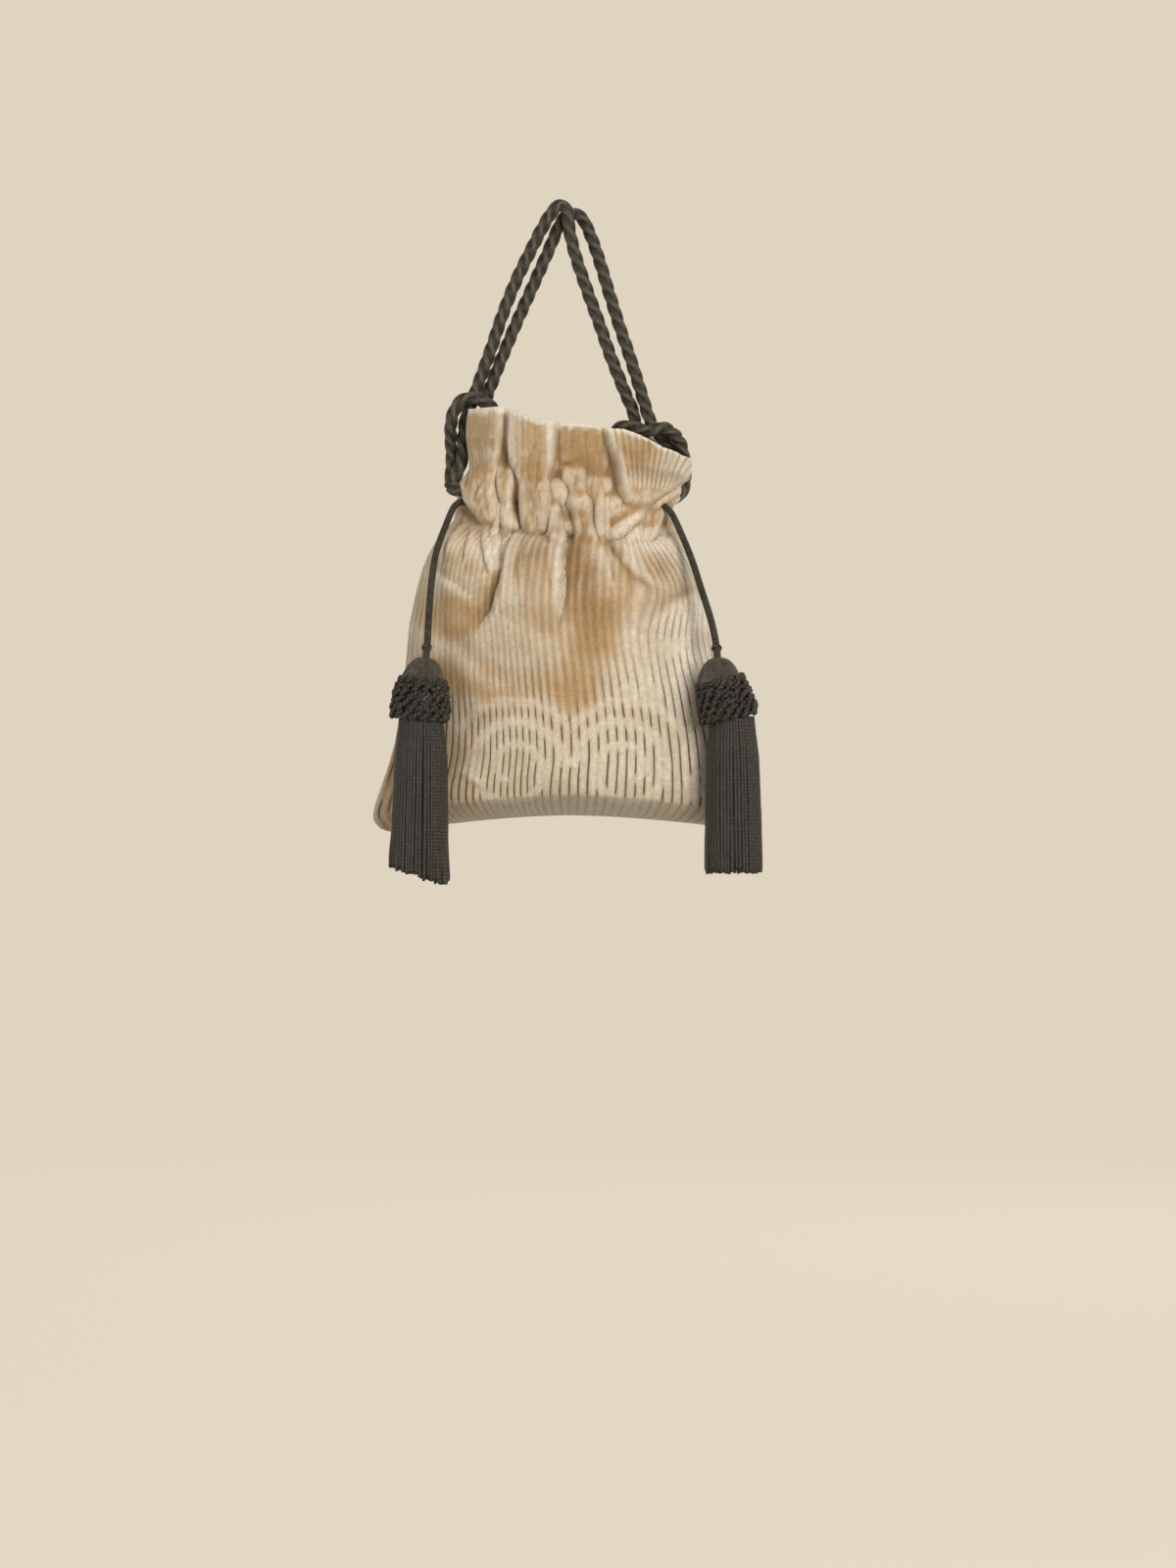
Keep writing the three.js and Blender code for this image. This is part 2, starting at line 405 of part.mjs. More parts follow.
// raises the left side of a skirt's end
function hemmed(g, t) {
  const at = g.attributes.position;
  for (let i = 0; i < at.count; i++) {
    if (at.getZ(i) < -t.long - 10) at.setZ(i, at.getZ(i) + t.hem * Math.max(0, (SKIRT_R - at.getX(i)) / (2 * SKIRT_R)) ** 1.5);
  }
  return g;
}

for (const t of TASSELS) {
  const thin = tube(samples(t.route, false, THIN_STEP, undefined, 1), THIN_R, CORD_SIDES, false);
  add(`tassel_cord_${t.side}`, thin, CORD);
  const end = t.route[t.route.length - 1];
  const knot = new THREE.SphereGeometry(KNOT_R, 10, 6);
  knot.deleteAttribute('normal');
  knot.deleteAttribute('uv');
  knot.rotateX(Math.PI / 2).scale(1, 1, KNOT_H / 2 / KNOT_R);
  knot.translate((end.x + t.x) / 2, (end.y + t.y) / 2, (end.z + t.z) / 2);
  add(`tassel_knot_${t.side}`, mergeVertices(knot, 1e-3), CORD);
  const lean = THREE.MathUtils.degToRad(t.lean), tilt = THREE.MathUtils.degToRad(t.tilt);
  const hang = THREE.MathUtils.degToRad(t.hang);
  const place = (g, aside = 0) => g.rotateY(lean).translate(t.x + aside, t.y, t.z);
  add(`tassel_head_${t.side}`, place(lathe(HEAD_PROFILE)), TASSEL);
  const collar = lathe(COLLAR_PROFILE).translate(0, 0, COLLAR_H / 2).rotateY(-tilt).translate(0, 0, COLLAR_TOP - COLLAR_H / 2);
  add(`tassel_collar_${t.side}`, place(collar, t.collar), TASSEL);
  const skirt = hemmed(lathe(skirtProfile(t.long)), t).rotateY(hang).translate(t.x + t.skirt, t.y, t.z + SKIRT_TOP);
  add(`tassel_skirt_${t.side}`, skirt, TASSEL);
}

export default group;
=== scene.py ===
# Looks of a hanging drawstring pouch: gathered ribbed velvet, twisted cords,
# thread tassels. Sizes in the tables are millimetres unless a comment says so.
import math

import bpy
import numpy as np
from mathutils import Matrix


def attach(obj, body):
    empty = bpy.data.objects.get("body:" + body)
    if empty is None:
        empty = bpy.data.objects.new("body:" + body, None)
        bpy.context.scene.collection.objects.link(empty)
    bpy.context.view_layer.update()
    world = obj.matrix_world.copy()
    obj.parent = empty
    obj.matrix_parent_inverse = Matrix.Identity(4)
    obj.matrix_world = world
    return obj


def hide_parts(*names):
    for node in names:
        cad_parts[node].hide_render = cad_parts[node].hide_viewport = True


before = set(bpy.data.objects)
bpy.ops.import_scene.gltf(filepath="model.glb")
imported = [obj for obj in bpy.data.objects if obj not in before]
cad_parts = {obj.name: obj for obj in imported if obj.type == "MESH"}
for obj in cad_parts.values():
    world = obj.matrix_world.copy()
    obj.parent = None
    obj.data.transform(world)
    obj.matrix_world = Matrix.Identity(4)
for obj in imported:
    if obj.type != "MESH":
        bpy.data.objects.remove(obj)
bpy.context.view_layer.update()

MM = 0.001
TAU = 2 * math.pi
scene = bpy.context.scene

# ------------------------------------------------------------------- camera
CAMERA_X, CAMERA_Z, CAMERA_FAR, LENS = 13.0, -292.0, 2000.0, 90.0
PIXEL = 0.5                        # millimetres for each image pixel at y = 0
camera_data = bpy.data.cameras.new("camera")
camera_data.lens = LENS
camera_data.sensor_width = 36.0
camera_data.clip_end = 100.0
camera = bpy.data.objects.new("camera", camera_data)
scene.collection.objects.link(camera)
camera.location = (CAMERA_X * MM, -CAMERA_FAR * MM, CAMERA_Z * MM)
camera.rotation_euler = (math.pi / 2, 0, 0)
scene.camera = camera


# ------------------------------------------------------------------ helpers
def ease(t):
    c = np.clip(t, 0, 1)
    return c * c * (3 - 2 * c)


def bump(d):
    return np.where(np.abs(d) < 1, 0.5 + 0.5 * np.cos(np.pi * np.clip(d, -1, 1)), 0)


class Noise:
    """Smooth value noise in three dimensions, about -1 to 1."""

    def __init__(self, seed):
        self.table = np.random.RandomState(seed).uniform(-1, 1, (32, 32, 32))

    def __call__(self, x, y, z):
        q = [np.asarray(v, float) for v in np.broadcast_arrays(x, y, z)]
        low = [np.floor(v).astype(int) for v in q]
        part = [v - l for v, l in zip(q, low)]
        part = [p * p * p * (p * (6 * p - 15) + 10) for p in part]
        total = 0
        for a in (0, 1):
            for b in (0, 1):
                for c in (0, 1):
                    value = self.table[(low[0] + a) % 32, (low[1] + b) % 32, (low[2] + c) % 32]
                    total = total + value * (part[0] if a else 1 - part[0]) * (part[1] if b else 1 - part[1]) * (part[2] if c else 1 - part[2])
        return total


def make_mesh(name, points, faces, values=None, smooth=True):
    """points in millimetres; faces: arrays of quads and of triangles; values: floats for each point."""
    mesh = bpy.data.meshes.new(name)
    points = np.asarray(points, float).reshape(-1, 3) * MM
    faces = [np.asarray(f, np.int32) for f in faces if len(f)]
    loops = np.concatenate([f.reshape(-1) for f in faces])
    sizes = np.concatenate([np.full(len(f), f.shape[1], np.int32) for f in faces])
    starts = np.concatenate([[0], np.cumsum(sizes)[:-1]]).astype(np.int32)
    mesh.vertices.add(len(points))
    mesh.vertices.foreach_set("co", points.astype(np.float32).reshape(-1))
    mesh.loops.add(len(loops))
    mesh.loops.foreach_set("vertex_index", loops.astype(np.int32))
    mesh.polygons.add(len(sizes))
    mesh.polygons.foreach_set("loop_start", starts)
    mesh.polygons.foreach_set("loop_total", sizes)
    mesh.polygons.foreach_set("use_smooth", np.full(len(sizes), smooth))
    for key, data in (values or {}).items():
        layer = mesh.attributes.new(key, "FLOAT", "POINT")
        layer.data.foreach_set("value", np.asarray(data, np.float32).reshape(-1))
    mesh.update(calc_edges=True)
    mesh.validate()
    obj = bpy.data.objects.new(name, mesh)
    scene.collection.objects.link(obj)
    return obj


class Parts:
    """Collects many small shapes into one mesh."""

    def __init__(self):
        self.points, self.quads, self.tris, self.values, self.count = [], [], [], {}, 0

    def add(self, points, quads=(), tris=(), **values):
        points = np.asarray(points, float).reshape(-1, 3)
        self.points.append(points)
        if len(quads):
            self.quads.append(np.asarray(quads, int) + self.count)
        if len(tris):
            self.tris.append(np.asarray(tris, int) + self.count)
        for key, data in values.items():
            self.values.setdefault(key, []).append(np.broadcast_to(np.asarray(data, float).reshape(-1), (len(points),)))
        self.count += len(points)

    def build(self, name):
        quads = np.concatenate(self.quads) if self.quads else np.zeros((0, 4), int)
        tris = np.concatenate(self.tris) if self.tris else np.zeros((0, 3), int)
        return make_mesh(name, np.concatenate(self.points), [quads, tris],
                         {k: np.concatenate(v) for k, v in self.values.items()})


def grid_quads(rows, columns, wrap_rows=False, wrap_columns=True):
    i = np.arange(rows if wrap_rows else rows - 1)[:, None]
    j = np.arange(columns if wrap_columns else columns - 1)[None, :]
    a = i * columns + j
    b = i * columns + (j + 1) % columns
    up = ((i + 1) % rows) * columns
    return np.stack([a, b, up + (j + 1) % columns, up + j], -1).reshape(-1, 4)


# -------------------------------------------------------------------- cords
# Routes of the cords, as x, y, z rows. The handle cords are closed loops.
CORD_FRONT = [
    (-56.5, -3.0, -139.5), (-50.5, -4.9, -143.2), (-42.8, -6.4, -145.0), (-35.8, -9.8, -146.8), (-23.0, -14.8, -149.0),
    (2.2, -18.0, -150.5), (27.5, -14.8, -150.0), (40.3, -9.8, -149.0), (47.2, -6.4, -148.2), (54.0, -3.4, -147.0),
    (59.6, 1.6, -144.6), (62.2, 5.6, -139.5), (62.8, 7.2, -132.0), (62.0, 6.2, -124.2), (60.2, 2.8, -117.6), (56.8, -2.4, -113.6),
    (51.0, -7.0, -110.8), (43.5, -8.6, -112.8), (35.5, -7.4, -110.6), (29.8, -4.2, -110.4), (27.4, 1.2, -112.4),
    (30.2, 5.6, -114.2), (35.2, 5.6, -111.8), (36.8, 3.4, -105.0), (31.2, 0.6, -90.5), (24.6, -0.6, -74.0),
    (19.0, -1.4, -58.0), (12.6, -2.2, -40.5), (6.4, -3.0, -22.0), (3.4, -3.3, -9.0), (2.6, -3.3, -0.8),
    (-0.6, -3.3, 3.0), (-4.6, -3.3, 0.2), (-9.6, -3.0, -7.5), (-15.6, -2.4, -19.0), (-23.0, -1.6, -34.0),
    (-30.6, -0.8, -52.5), (-36.2, -0.2, -68.5), (-42.2, 0.4, -85.0), (-46.2, 1.0, -96.0), (-49.4, 1.6, -105.0),
    (-50.6, 1.7, -115.0), (-51.2, 0.2, -126.0), (-53.8, -2.0, -134.0)]
CORD_BACK = [
    (-57.0, 4.4, -140.0), (-50.5, 4.9, -143.2), (-42.8, 6.4, -145.0), (-35.8, 9.8, -146.8), (-23.0, 14.8, -149.0),
    (2.2, 18.0, -150.5), (27.5, 14.8, -150.0), (40.3, 9.8, -149.0), (47.2, 6.4, -148.2), (53.6, 8.2, -147.0),
    (57.6, 11.8, -144.0), (58.6, 13.0, -138.0), (58.2, 13.0, -130.5), (56.8, 11.2, -123.6), (54.2, 7.4, -118.0),
    (50.6, 3.0, -114.8), (47.2, 0.4, -111.6), (44.6, -0.5, -106.5), (39.6, 0.6, -90.5), (34.4, 1.2, -74.0),
    (29.0, 1.8, -58.0), (23.6, 2.4, -40.5), (18.0, 3.0, -22.0), (13.4, 3.3, -9.5), (9.6, 3.3, -2.6),
    (4.6, 3.3, -0.6), (0.2, 3.4, -3.4), (-3.0, 3.4, -9.5), (-7.0, 3.4, -19.0), (-13.6, 3.4, -34.0),
    (-21.8, 3.6, -52.5), (-28.4, 3.8, -68.5), (-35.0, 4.4, -85.0), (-38.6, 5.6, -95.5), (-37.4, 5.8, -102.2),
    (-33.6, 1.0, -104.4), (-35.0, -4.6, -101.0), (-40.6, -6.6, -97.2), (-46.6, -6.6, -95.6), (-51.8, -5.7, -97.6),
    (-55.6, -4.4, -103.4), (-56.8, -2.4, -108.8), (-57.0, 3.4, -117.0), (-56.6, 5.6, -125.0), (-57.0, 5.4, -133.0)]
THIN_LEFT = [
    (-45.4, -4.6, -149.6), (-47.6, -5.3, -149.2), (-51.8, -6.9, -148.7), (-54.6, -8.1, -150.6), (-59.4, -12.4, -161.6),
    (-63.8, -17.2, -175.0), (-65.8, -22.2, -188.5), (-66.9, -26.8, -203.0), (-67.7, -31.4, -220.9), (-68.3, -35.3, -229.4)]
THIN_RIGHT = [
    (43.6, -10.4, -150.0), (46.8, -11.4, -150.4), (51.2, -13.0, -150.9), (55.0, -14.6, -154.6), (60.6, -16.7, -166.4),
    (65.6, -18.5, -179.0), (70.6, -21.0, -195.0), (74.8, -24.8, -209.0), (77.2, -29.2, -220.9), (78.0, -33.6, -229.4)]
THIN_FIRST = 1                     # the tassel cord begins at this row
CORD_D, CORD_LAY = 6.0, 24.0       # handle cord: thickness, one full turn of its strands
THIN_D, THIN_LAY = 3.3, 6.4
PLUMP = 1.13                       # the strands swell a little past the laid thickness


def curve_points(rows, closed, first=0, per_span=24):
    """Centripetal spline through the rows."""
    p = np.asarray(rows, float)
    n = len(p)
    if closed:
        ring = np.concatenate([p[-1:], p, p[:2]])
        spans = n
    else:
        ring = np.concatenate([2 * p[:1] - p[1:2], p, 2 * p[-1:] - p[-2:-1]])
        spans = n - 1
    out = []
    t = (np.arange(per_span) / per_span)[:, None]
    for i in range(first, spans):
        a, b, c, d = ring[i:i + 4]
        d0, d1, d2 = (max(1e-4, np.linalg.norm(v)) ** 0.5 for v in (b - a, c - b, d - c))
        m1 = ((b - a) / d0 - (c - a) / (d0 + d1) + (c - b) / d1) * d1
        m2 = ((c - b) / d1 - (d - b) / (d1 + d2) + (d - c) / d2) * d1
        out.append(b + m1 * t + (-3 * b + 3 * c - 2 * m1 - m2) * t ** 2 + (2 * b - 2 * c + m1 + m2) * t ** 3)
    if not closed:
        out.append(p[-1:])
    return np.concatenate(out)


def even(points, step, closed):
    """The same line in equal steps; returns points and length."""
    p = np.concatenate([points, points[:1]]) if closed else points
    s = np.concatenate([[0], np.cumsum(np.linalg.norm(np.diff(p, axis=0), axis=1))])
    count = max(3, int(round(s[-1] / step)))
    at = np.linspace(0, s[-1], count + 1)
    if closed:
        at = at[:-1]
    return np.stack([np.interp(at, s, p[:, k]) for k in range(3)], -1), s[-1]


def frames(path, closed):
    """Tangent, and two cross directions that don't spin, along a line."""
    if closed:
        way = np.roll(path, -1, 0) - np.roll(path, 1, 0)
    else:
        way = np.gradient(path, axis=0)
    way /= np.linalg.norm(way, axis=1, keepdims=True)
    up = np.cross((0.21, 0.93, 0.3), way[0])
    up /= np.linalg.norm(up)
    ups = []
    for t in way:
        up = up - t * up.dot(t)
        up = up / np.linalg.norm(up)
        ups.append(up)
    ups = np.array(ups)
    sides = np.cross(way, ups)
    turn = 0.0
    if closed:
        last = ups[-1] - way[0] * ups[-1].dot(way[0])
        turn = math.atan2(last.dot(sides[0]), last.dot(ups[0]))
    return way, ups, sides, turn


def rope_profile(strands, radius, per_strand):
    """Outline of strands laid together: angle and distance from the axis, and place across each strand."""
    deep = {2: 0.30, 3: 0.33}.get(strands, 0.16)
    across = np.tile(np.linspace(-1, 1, per_strand + 1)[:-1], strands)
    angle = across * math.pi / strands + np.repeat(np.arange(strands), per_strand) * TAU / strands
    far = radius * (1 - deep + deep * np.clip(np.cos(across * math.pi / 2), 0, 1) ** 0.7)
    return angle, far, across


def rope(parts, path, closed, strands, radius, lay, per_strand, hand=-1, wobble=0.0, seed=0, caps=True, phase=0.0, sizes=None):
    """Adds twisted strands along an evenly stepped line. hand -1 is a left-hand twist."""
    angle, far, across = rope_profile(strands, radius, per_strand)
    way, ups, sides, turn = frames(path, closed)
    n, m = len(path), len(angle)
    step = np.linalg.norm(np.diff(path, axis=0), axis=1)
    s = np.concatenate([[0], np.cumsum(step)])
    whole = s[-1] + (np.linalg.norm(path[0] - path[-1]) if closed else 0)
    if closed:
        share = TAU / strands
        turns = round((whole / lay * TAU * hand - turn) / share) * share + turn
        spin = turns * s / whole
    else:
        spin = hand * TAU * s / lay
    if wobble:
        noise = Noise(seed)
        spin = spin + wobble * noise(s / (lay * 1.7), 0.5, 0.5) * (np.minimum(1, np.minimum(s, whole - s) / lay) if closed else 1)
    size = np.ones(n) if sizes is None else sizes
    q = angle[None, :] + spin[:, None] + phase
    points = path[:, None, :] + far[None, :, None] * size[:, None, None] * (np.cos(q)[..., None] * ups[:, None, :] + np.sin(q)[..., None] * sides[:, None, :])
    quads = grid_quads(n, m)
    tris = []
    if closed:
        # join the end to the start, each strand to the strand it runs into
        shift = int(round((spin[-1] + (turns / n if n else 0) - turn) / (TAU / strands))) % strands
        per = m // strands
        j = np.arange(m)
        k = (j + shift * per) % m
        a = (n - 1) * m + j
        b = (n - 1) * m + (j + 1) % m
        quads = np.concatenate([quads, np.stack([a, b, (k + 1) % m, k], -1)])
    elif caps:
        points = np.concatenate([points.reshape(-1, 3), path[:1], path[-1:]])
        j = np.arange(m)
        tris = np.concatenate([np.stack([(j + 1) % m, j, np.full(m, n * m)], -1),
                               np.stack([(n - 1) * m + j, (n - 1) * m + (j + 1) % m, np.full(m, n * m + 1)], -1)])
    count = len(points.reshape(-1, 3))
    along = np.repeat(s, m)
    place = np.tile(across, n)
    if count > n * m:
        along = np.concatenate([along, [0, s[-1]]])
        place = np.concatenate([place, [0, 0]])
    parts.add(points.reshape(-1, 3), quads, tris, along=along, across=place)
    return whole


handle_cords = []
NESTLE = {"front": 0.3, "back": -0.3}
for side, rows in (("front", CORD_FRONT), ("back", CORD_BACK)):
    line = curve_points(rows, True)
    # the left legs are drawn against each other by the hitch below them
    line[:, 0] += NESTLE[side] * np.where(line[:, 0] < 0, 1, 0) * ease((-line[:, 2] - 40) / 35) * ease((line[:, 2] + 104) / 8)
    line, length = even(line, 0.8, True)
    parts = Parts()
    rope(parts, line, True, 3, CORD_D / 2 * PLUMP, CORD_LAY, 9, wobble=0.35, seed=3 if side == "front" else 4)
    handle_cords.append((side, parts.build("cord_" + side), line, length))

tassel_cords = []
for side, rows in (("left", THIN_LEFT), ("right", THIN_RIGHT)):
    line, length = even(curve_points(rows, False, THIN_FIRST), 0.5, False)
    parts = Parts()
    rope(parts, line, False, 4, THIN_D / 2 * PLUMP * 0.95, THIN_LAY, 5, wobble=0.5, seed=5 if side == "left" else 6, sizes=np.linspace(0.97, 1.10, len(line)))
    tassel_cords.append((side, parts.build("thin_cord_" + side), line, length))

# -------------------------------------------------------------- pouch cloth
# Level lines from the bottom seam to the top edge: heights at the left seam,
# middle and right seam; x of the seams; how far the middle stands out in front
# and behind; round (0 a lens, 1 an ellipse); wall; follow and lift of the lining face.
SECTIONS = np.array([
    # zL, zM, zR, left, right, front, back, round, wall, follow, lift
    (-316.5, -308.0, -315.5, -86.0, 92.0, 0.0, 0.0, 0.00, 2.0, 1.00, 2.6),
    (-315.0, -304.5, -314.0, -92.0, 97.0, 20.0, 20.0, 0.05, 2.0, 1.00, 2.2),
    (-310.0, -297.5, -309.5, -96.5, 101.5, 33.0, 33.0, 0.10, 2.0, 1.00, 1.4),
    (-302.0, -289.0, -302.0, -95.5, 101.0, 37.5, 37.5, 0.15, 2.0, 1.00, 0.4),
    (-281.0, -276.0, -281.0, -88.5, 96.0, 39.5, 39.5, 0.25, 2.0, 1.00, 0.0),
    (-261.0, -261.0, -261.0, -84.0, 90.0, 40.0, 40.0, 0.35, 2.0, 1.00, 0.0),
    (-240.0, -240.0, -240.0, -81.5, 83.0, 39.5, 39.0, 0.45, 2.0, 1.00, 0.0),
    (-222.0, -222.0, -222.0, -79.5, 77.0, 38.5, 38.0, 0.50, 2.0, 1.00, 0.0),
    (-205.0, -205.0, -205.0, -77.0, 72.0, 36.5, 36.0, 0.60, 2.0, 1.00, 0.0),
    (-187.0, -189.0, -188.0, -73.0, 69.0, 34.0, 34.0, 0.70, 2.2, 0.95, 0.0),
    (-170.0, -174.0, -172.0, -66.0, 65.5, 30.0, 30.0, 0.85, 4.0, 0.70, 0.0),
    (-155.0, -164.5, -161.0, -54.5, 58.0, 24.5, 24.5, 1.00, 10.0, 0.15, 0.0),
    (-143.5, -150.5, -149.5, -52.5, 57.0, 26.0, 26.0, 1.00, 13.4, 0.00, 0.0),
    (-131.5, -136.0, -141.0, -50.0, 57.0, 23.5, 23.5, 1.00, 9.5, 0.15, 0.0),
    (-121.0, -127.0, -136.5, -50.5, 60.5, 25.0, 25.0, 1.00, 4.0, 0.70, 0.0),
    (-111.0, -117.0, -131.5, -51.0, 60.5, 27.0, 27.0, 1.00, 2.4, 1.00, 0.0),
    (-100.5, -107.0, -126.0, -50.0, 60.0, 28.5, 28.5, 1.00, 2.4, 1.00, 0.0)])
LOWER, CASING, UPPER, RIM = 11, 12, 13, 16
COLUMNS = 320                      # mesh columns across the front, and across the back
LINING_STEP = 2                    # outer columns for each column of the lining face
# Ribs for each picture pixel across the lower front.
RIB_COUNT = np.array([(370, 0.125), (440, 0.150), (535, 0.150), (565, 0.112), (610, 0.104), (650, 0.110), (720, 0.114), (790, 0.120)])
ROW_STEPS = ((0.0, 2.0, 14), (2.0, 4.0, 16), (4.0, 8.0, 34), (8.0, 11.0, 27), (11.0, 13.0, 20), (13.0, 16.0, 18))
INNER_ROWS = (0, 1, 2, 3, 4, 5, 6, 7, 8, 8.6, 9.2, 9.8, 10.4, 11, 11.4, 12, 12.6, 13, 13.4, 13.8, 14.2, 14.6, 15, 15.4, 15.8, 16)

# Folds, each a line of picture points (x, y pixels at y = 0) that runs down the
# cloth. left, right: height of the cloth at that side of the line; wide_left,
# wide_right: how far it reaches; soft: width of the step; fade: ends, shares.
FOLDS_FRONT = [
    # line, left, wide_left, right, wide_right, soft, fade_top, fade_end
    (((524, 540), (519, 556), (515.5, 574), (511.5, 596), (502, 623), (484, 648)), -4.4, 14, 3.4, 36, 3.0, 0.06, 0.45),
    (((575, 536), (574.5, 560), (573, 590), (572, 615), (572, 645)), 2.6, 24, -3.6, 18, 2.2, 0.05, 0.55),
    (((619, 545), (627, 559), (637, 573), (650, 586), (662, 596), (680, 602)), -2.2, 10, 0.8, 46, 8.0, 0.08, 0.60),
    (((493, 536), (494, 552), (495, 572), (499, 584)), -1.0, 9, 1.5, 7, 2.2, 0.10, 0.10),
    (((517, 537), (517, 556), (515, 574), (510, 584)), 1.4, 7, -1.6, 6, 2.2, 0.10, 0.10),
    (((501, 538), (501, 556), (501, 579)), -1.2, 2.4, -1.2, 2.4, 1.2, 0.20, 0.20),
    (((509, 538), (509.5, 556), (507, 579)), -1.4, 2.4, -1.4, 2.4, 1.2, 0.20, 0.20),
    (((440, 582), (456, 592), (470, 601), (490, 611)), 0.5, 10, -0.6, 10, 6.0, 0.25, 0.35),
    (((607, 548), (609, 575), (612, 610), (616, 660)), 1.6, 16, 1.6, 18, 8.0, 0.20, 0.60),
    (((548, 545), (547, 575), (545, 615), (540, 670)), 1.4, 15, 1.4, 15, 8.0, 0.20, 0.60),
    (((560, 540), (561, 570), (562, 600), (561, 640)), -0.4, 5, 0.3, 8, 4.0, 0.15, 0.50),
    (((536, 548), (532, 580), (528, 620)), -1.0, 6, 0.7, 8, 3.0, 0.20, 0.50),
    (((592, 548), (591, 590), (588, 640)), -0.3, 6, 0.4, 8, 4.0, 0.15, 0.50),
    (((476, 791), (487, 801), (500, 811), (514, 820)), -1.2, 12, 0.9, 9, 2.0, 0.25, 0.25),
    (((612, 550), (620, 580), (632, 615)), 0.5, 8, -0.4, 9, 5.0, 0.20, 0.50),
    (((690, 545), (704, 568), (716, 596)), -0.6, 6, 0.6, 9, 4.0, 0.25, 0.30),
    (((473, 524), (462, 545), (452, 572)), -1.8, 7, 1.8, 13, 3.5, 0.15, 0.40),
    (((484, 533), (478, 556), (468, 582)), -1.2, 6, 1.2, 8, 3.0, 0.15, 0.40),
    (((430, 640), (465, 662), (505, 690), (545, 716)), 0.8, 22, -0.9, 24, 26.0, 0.30, 0.40),
    (((720, 600), (690, 616), (655, 640)), -0.8, 22, 0.7, 24, 14.0, 0.30, 0.50),
    (((418, 600), (414, 660), (405, 740)), -1.2, 10, 1.4, 14, 6.0, 0.25, 0.40),
]
FOLDS_BACK = [
    (((470, 540), (462, 575), (452, 620)), -3.0, 14, 3.2, 26, 4.0, 0.10, 0.60),
    (((494, 541), (490, 575), (484, 610)), -1.4, 7, 1.2, 9, 3.0, 0.10, 0.50),
    (((520, 540), (518, 580), (512, 640), (506, 690)), 3.6, 16, -3.2, 14, 4.0, 0.10, 0.60),
    (((542, 542), (542, 580), (540, 630)), -1.4, 7, 1.4, 9, 3.0, 0.10, 0.50),
    (((566, 541), (567, 590), (570, 650), (574, 720)), -3.4, 14, 3.8, 22, 4.0, 0.10, 0.65),
    (((594, 542), (597, 580), (601, 630)), 1.3, 8, -1.3, 8, 3.0, 0.10, 0.50),
    (((618, 543), (622, 580), (630, 630), (640, 680)), 3.6, 18, -3.4, 13, 4.0, 0.10, 0.60),
    (((660, 540), (672, 570), (690, 600)), -3.6, 10, 3.4, 20, 4.5, 0.10, 0.45),
    (((440, 600), (480, 625), (520, 640)), 1.6, 16, -1.6, 16, 8.0, 0.30, 0.40),
    (((740, 640), (690, 665), (640, 680)), -1.6, 16, 1.4, 18, 10.0, 0.30, 0.40),
]
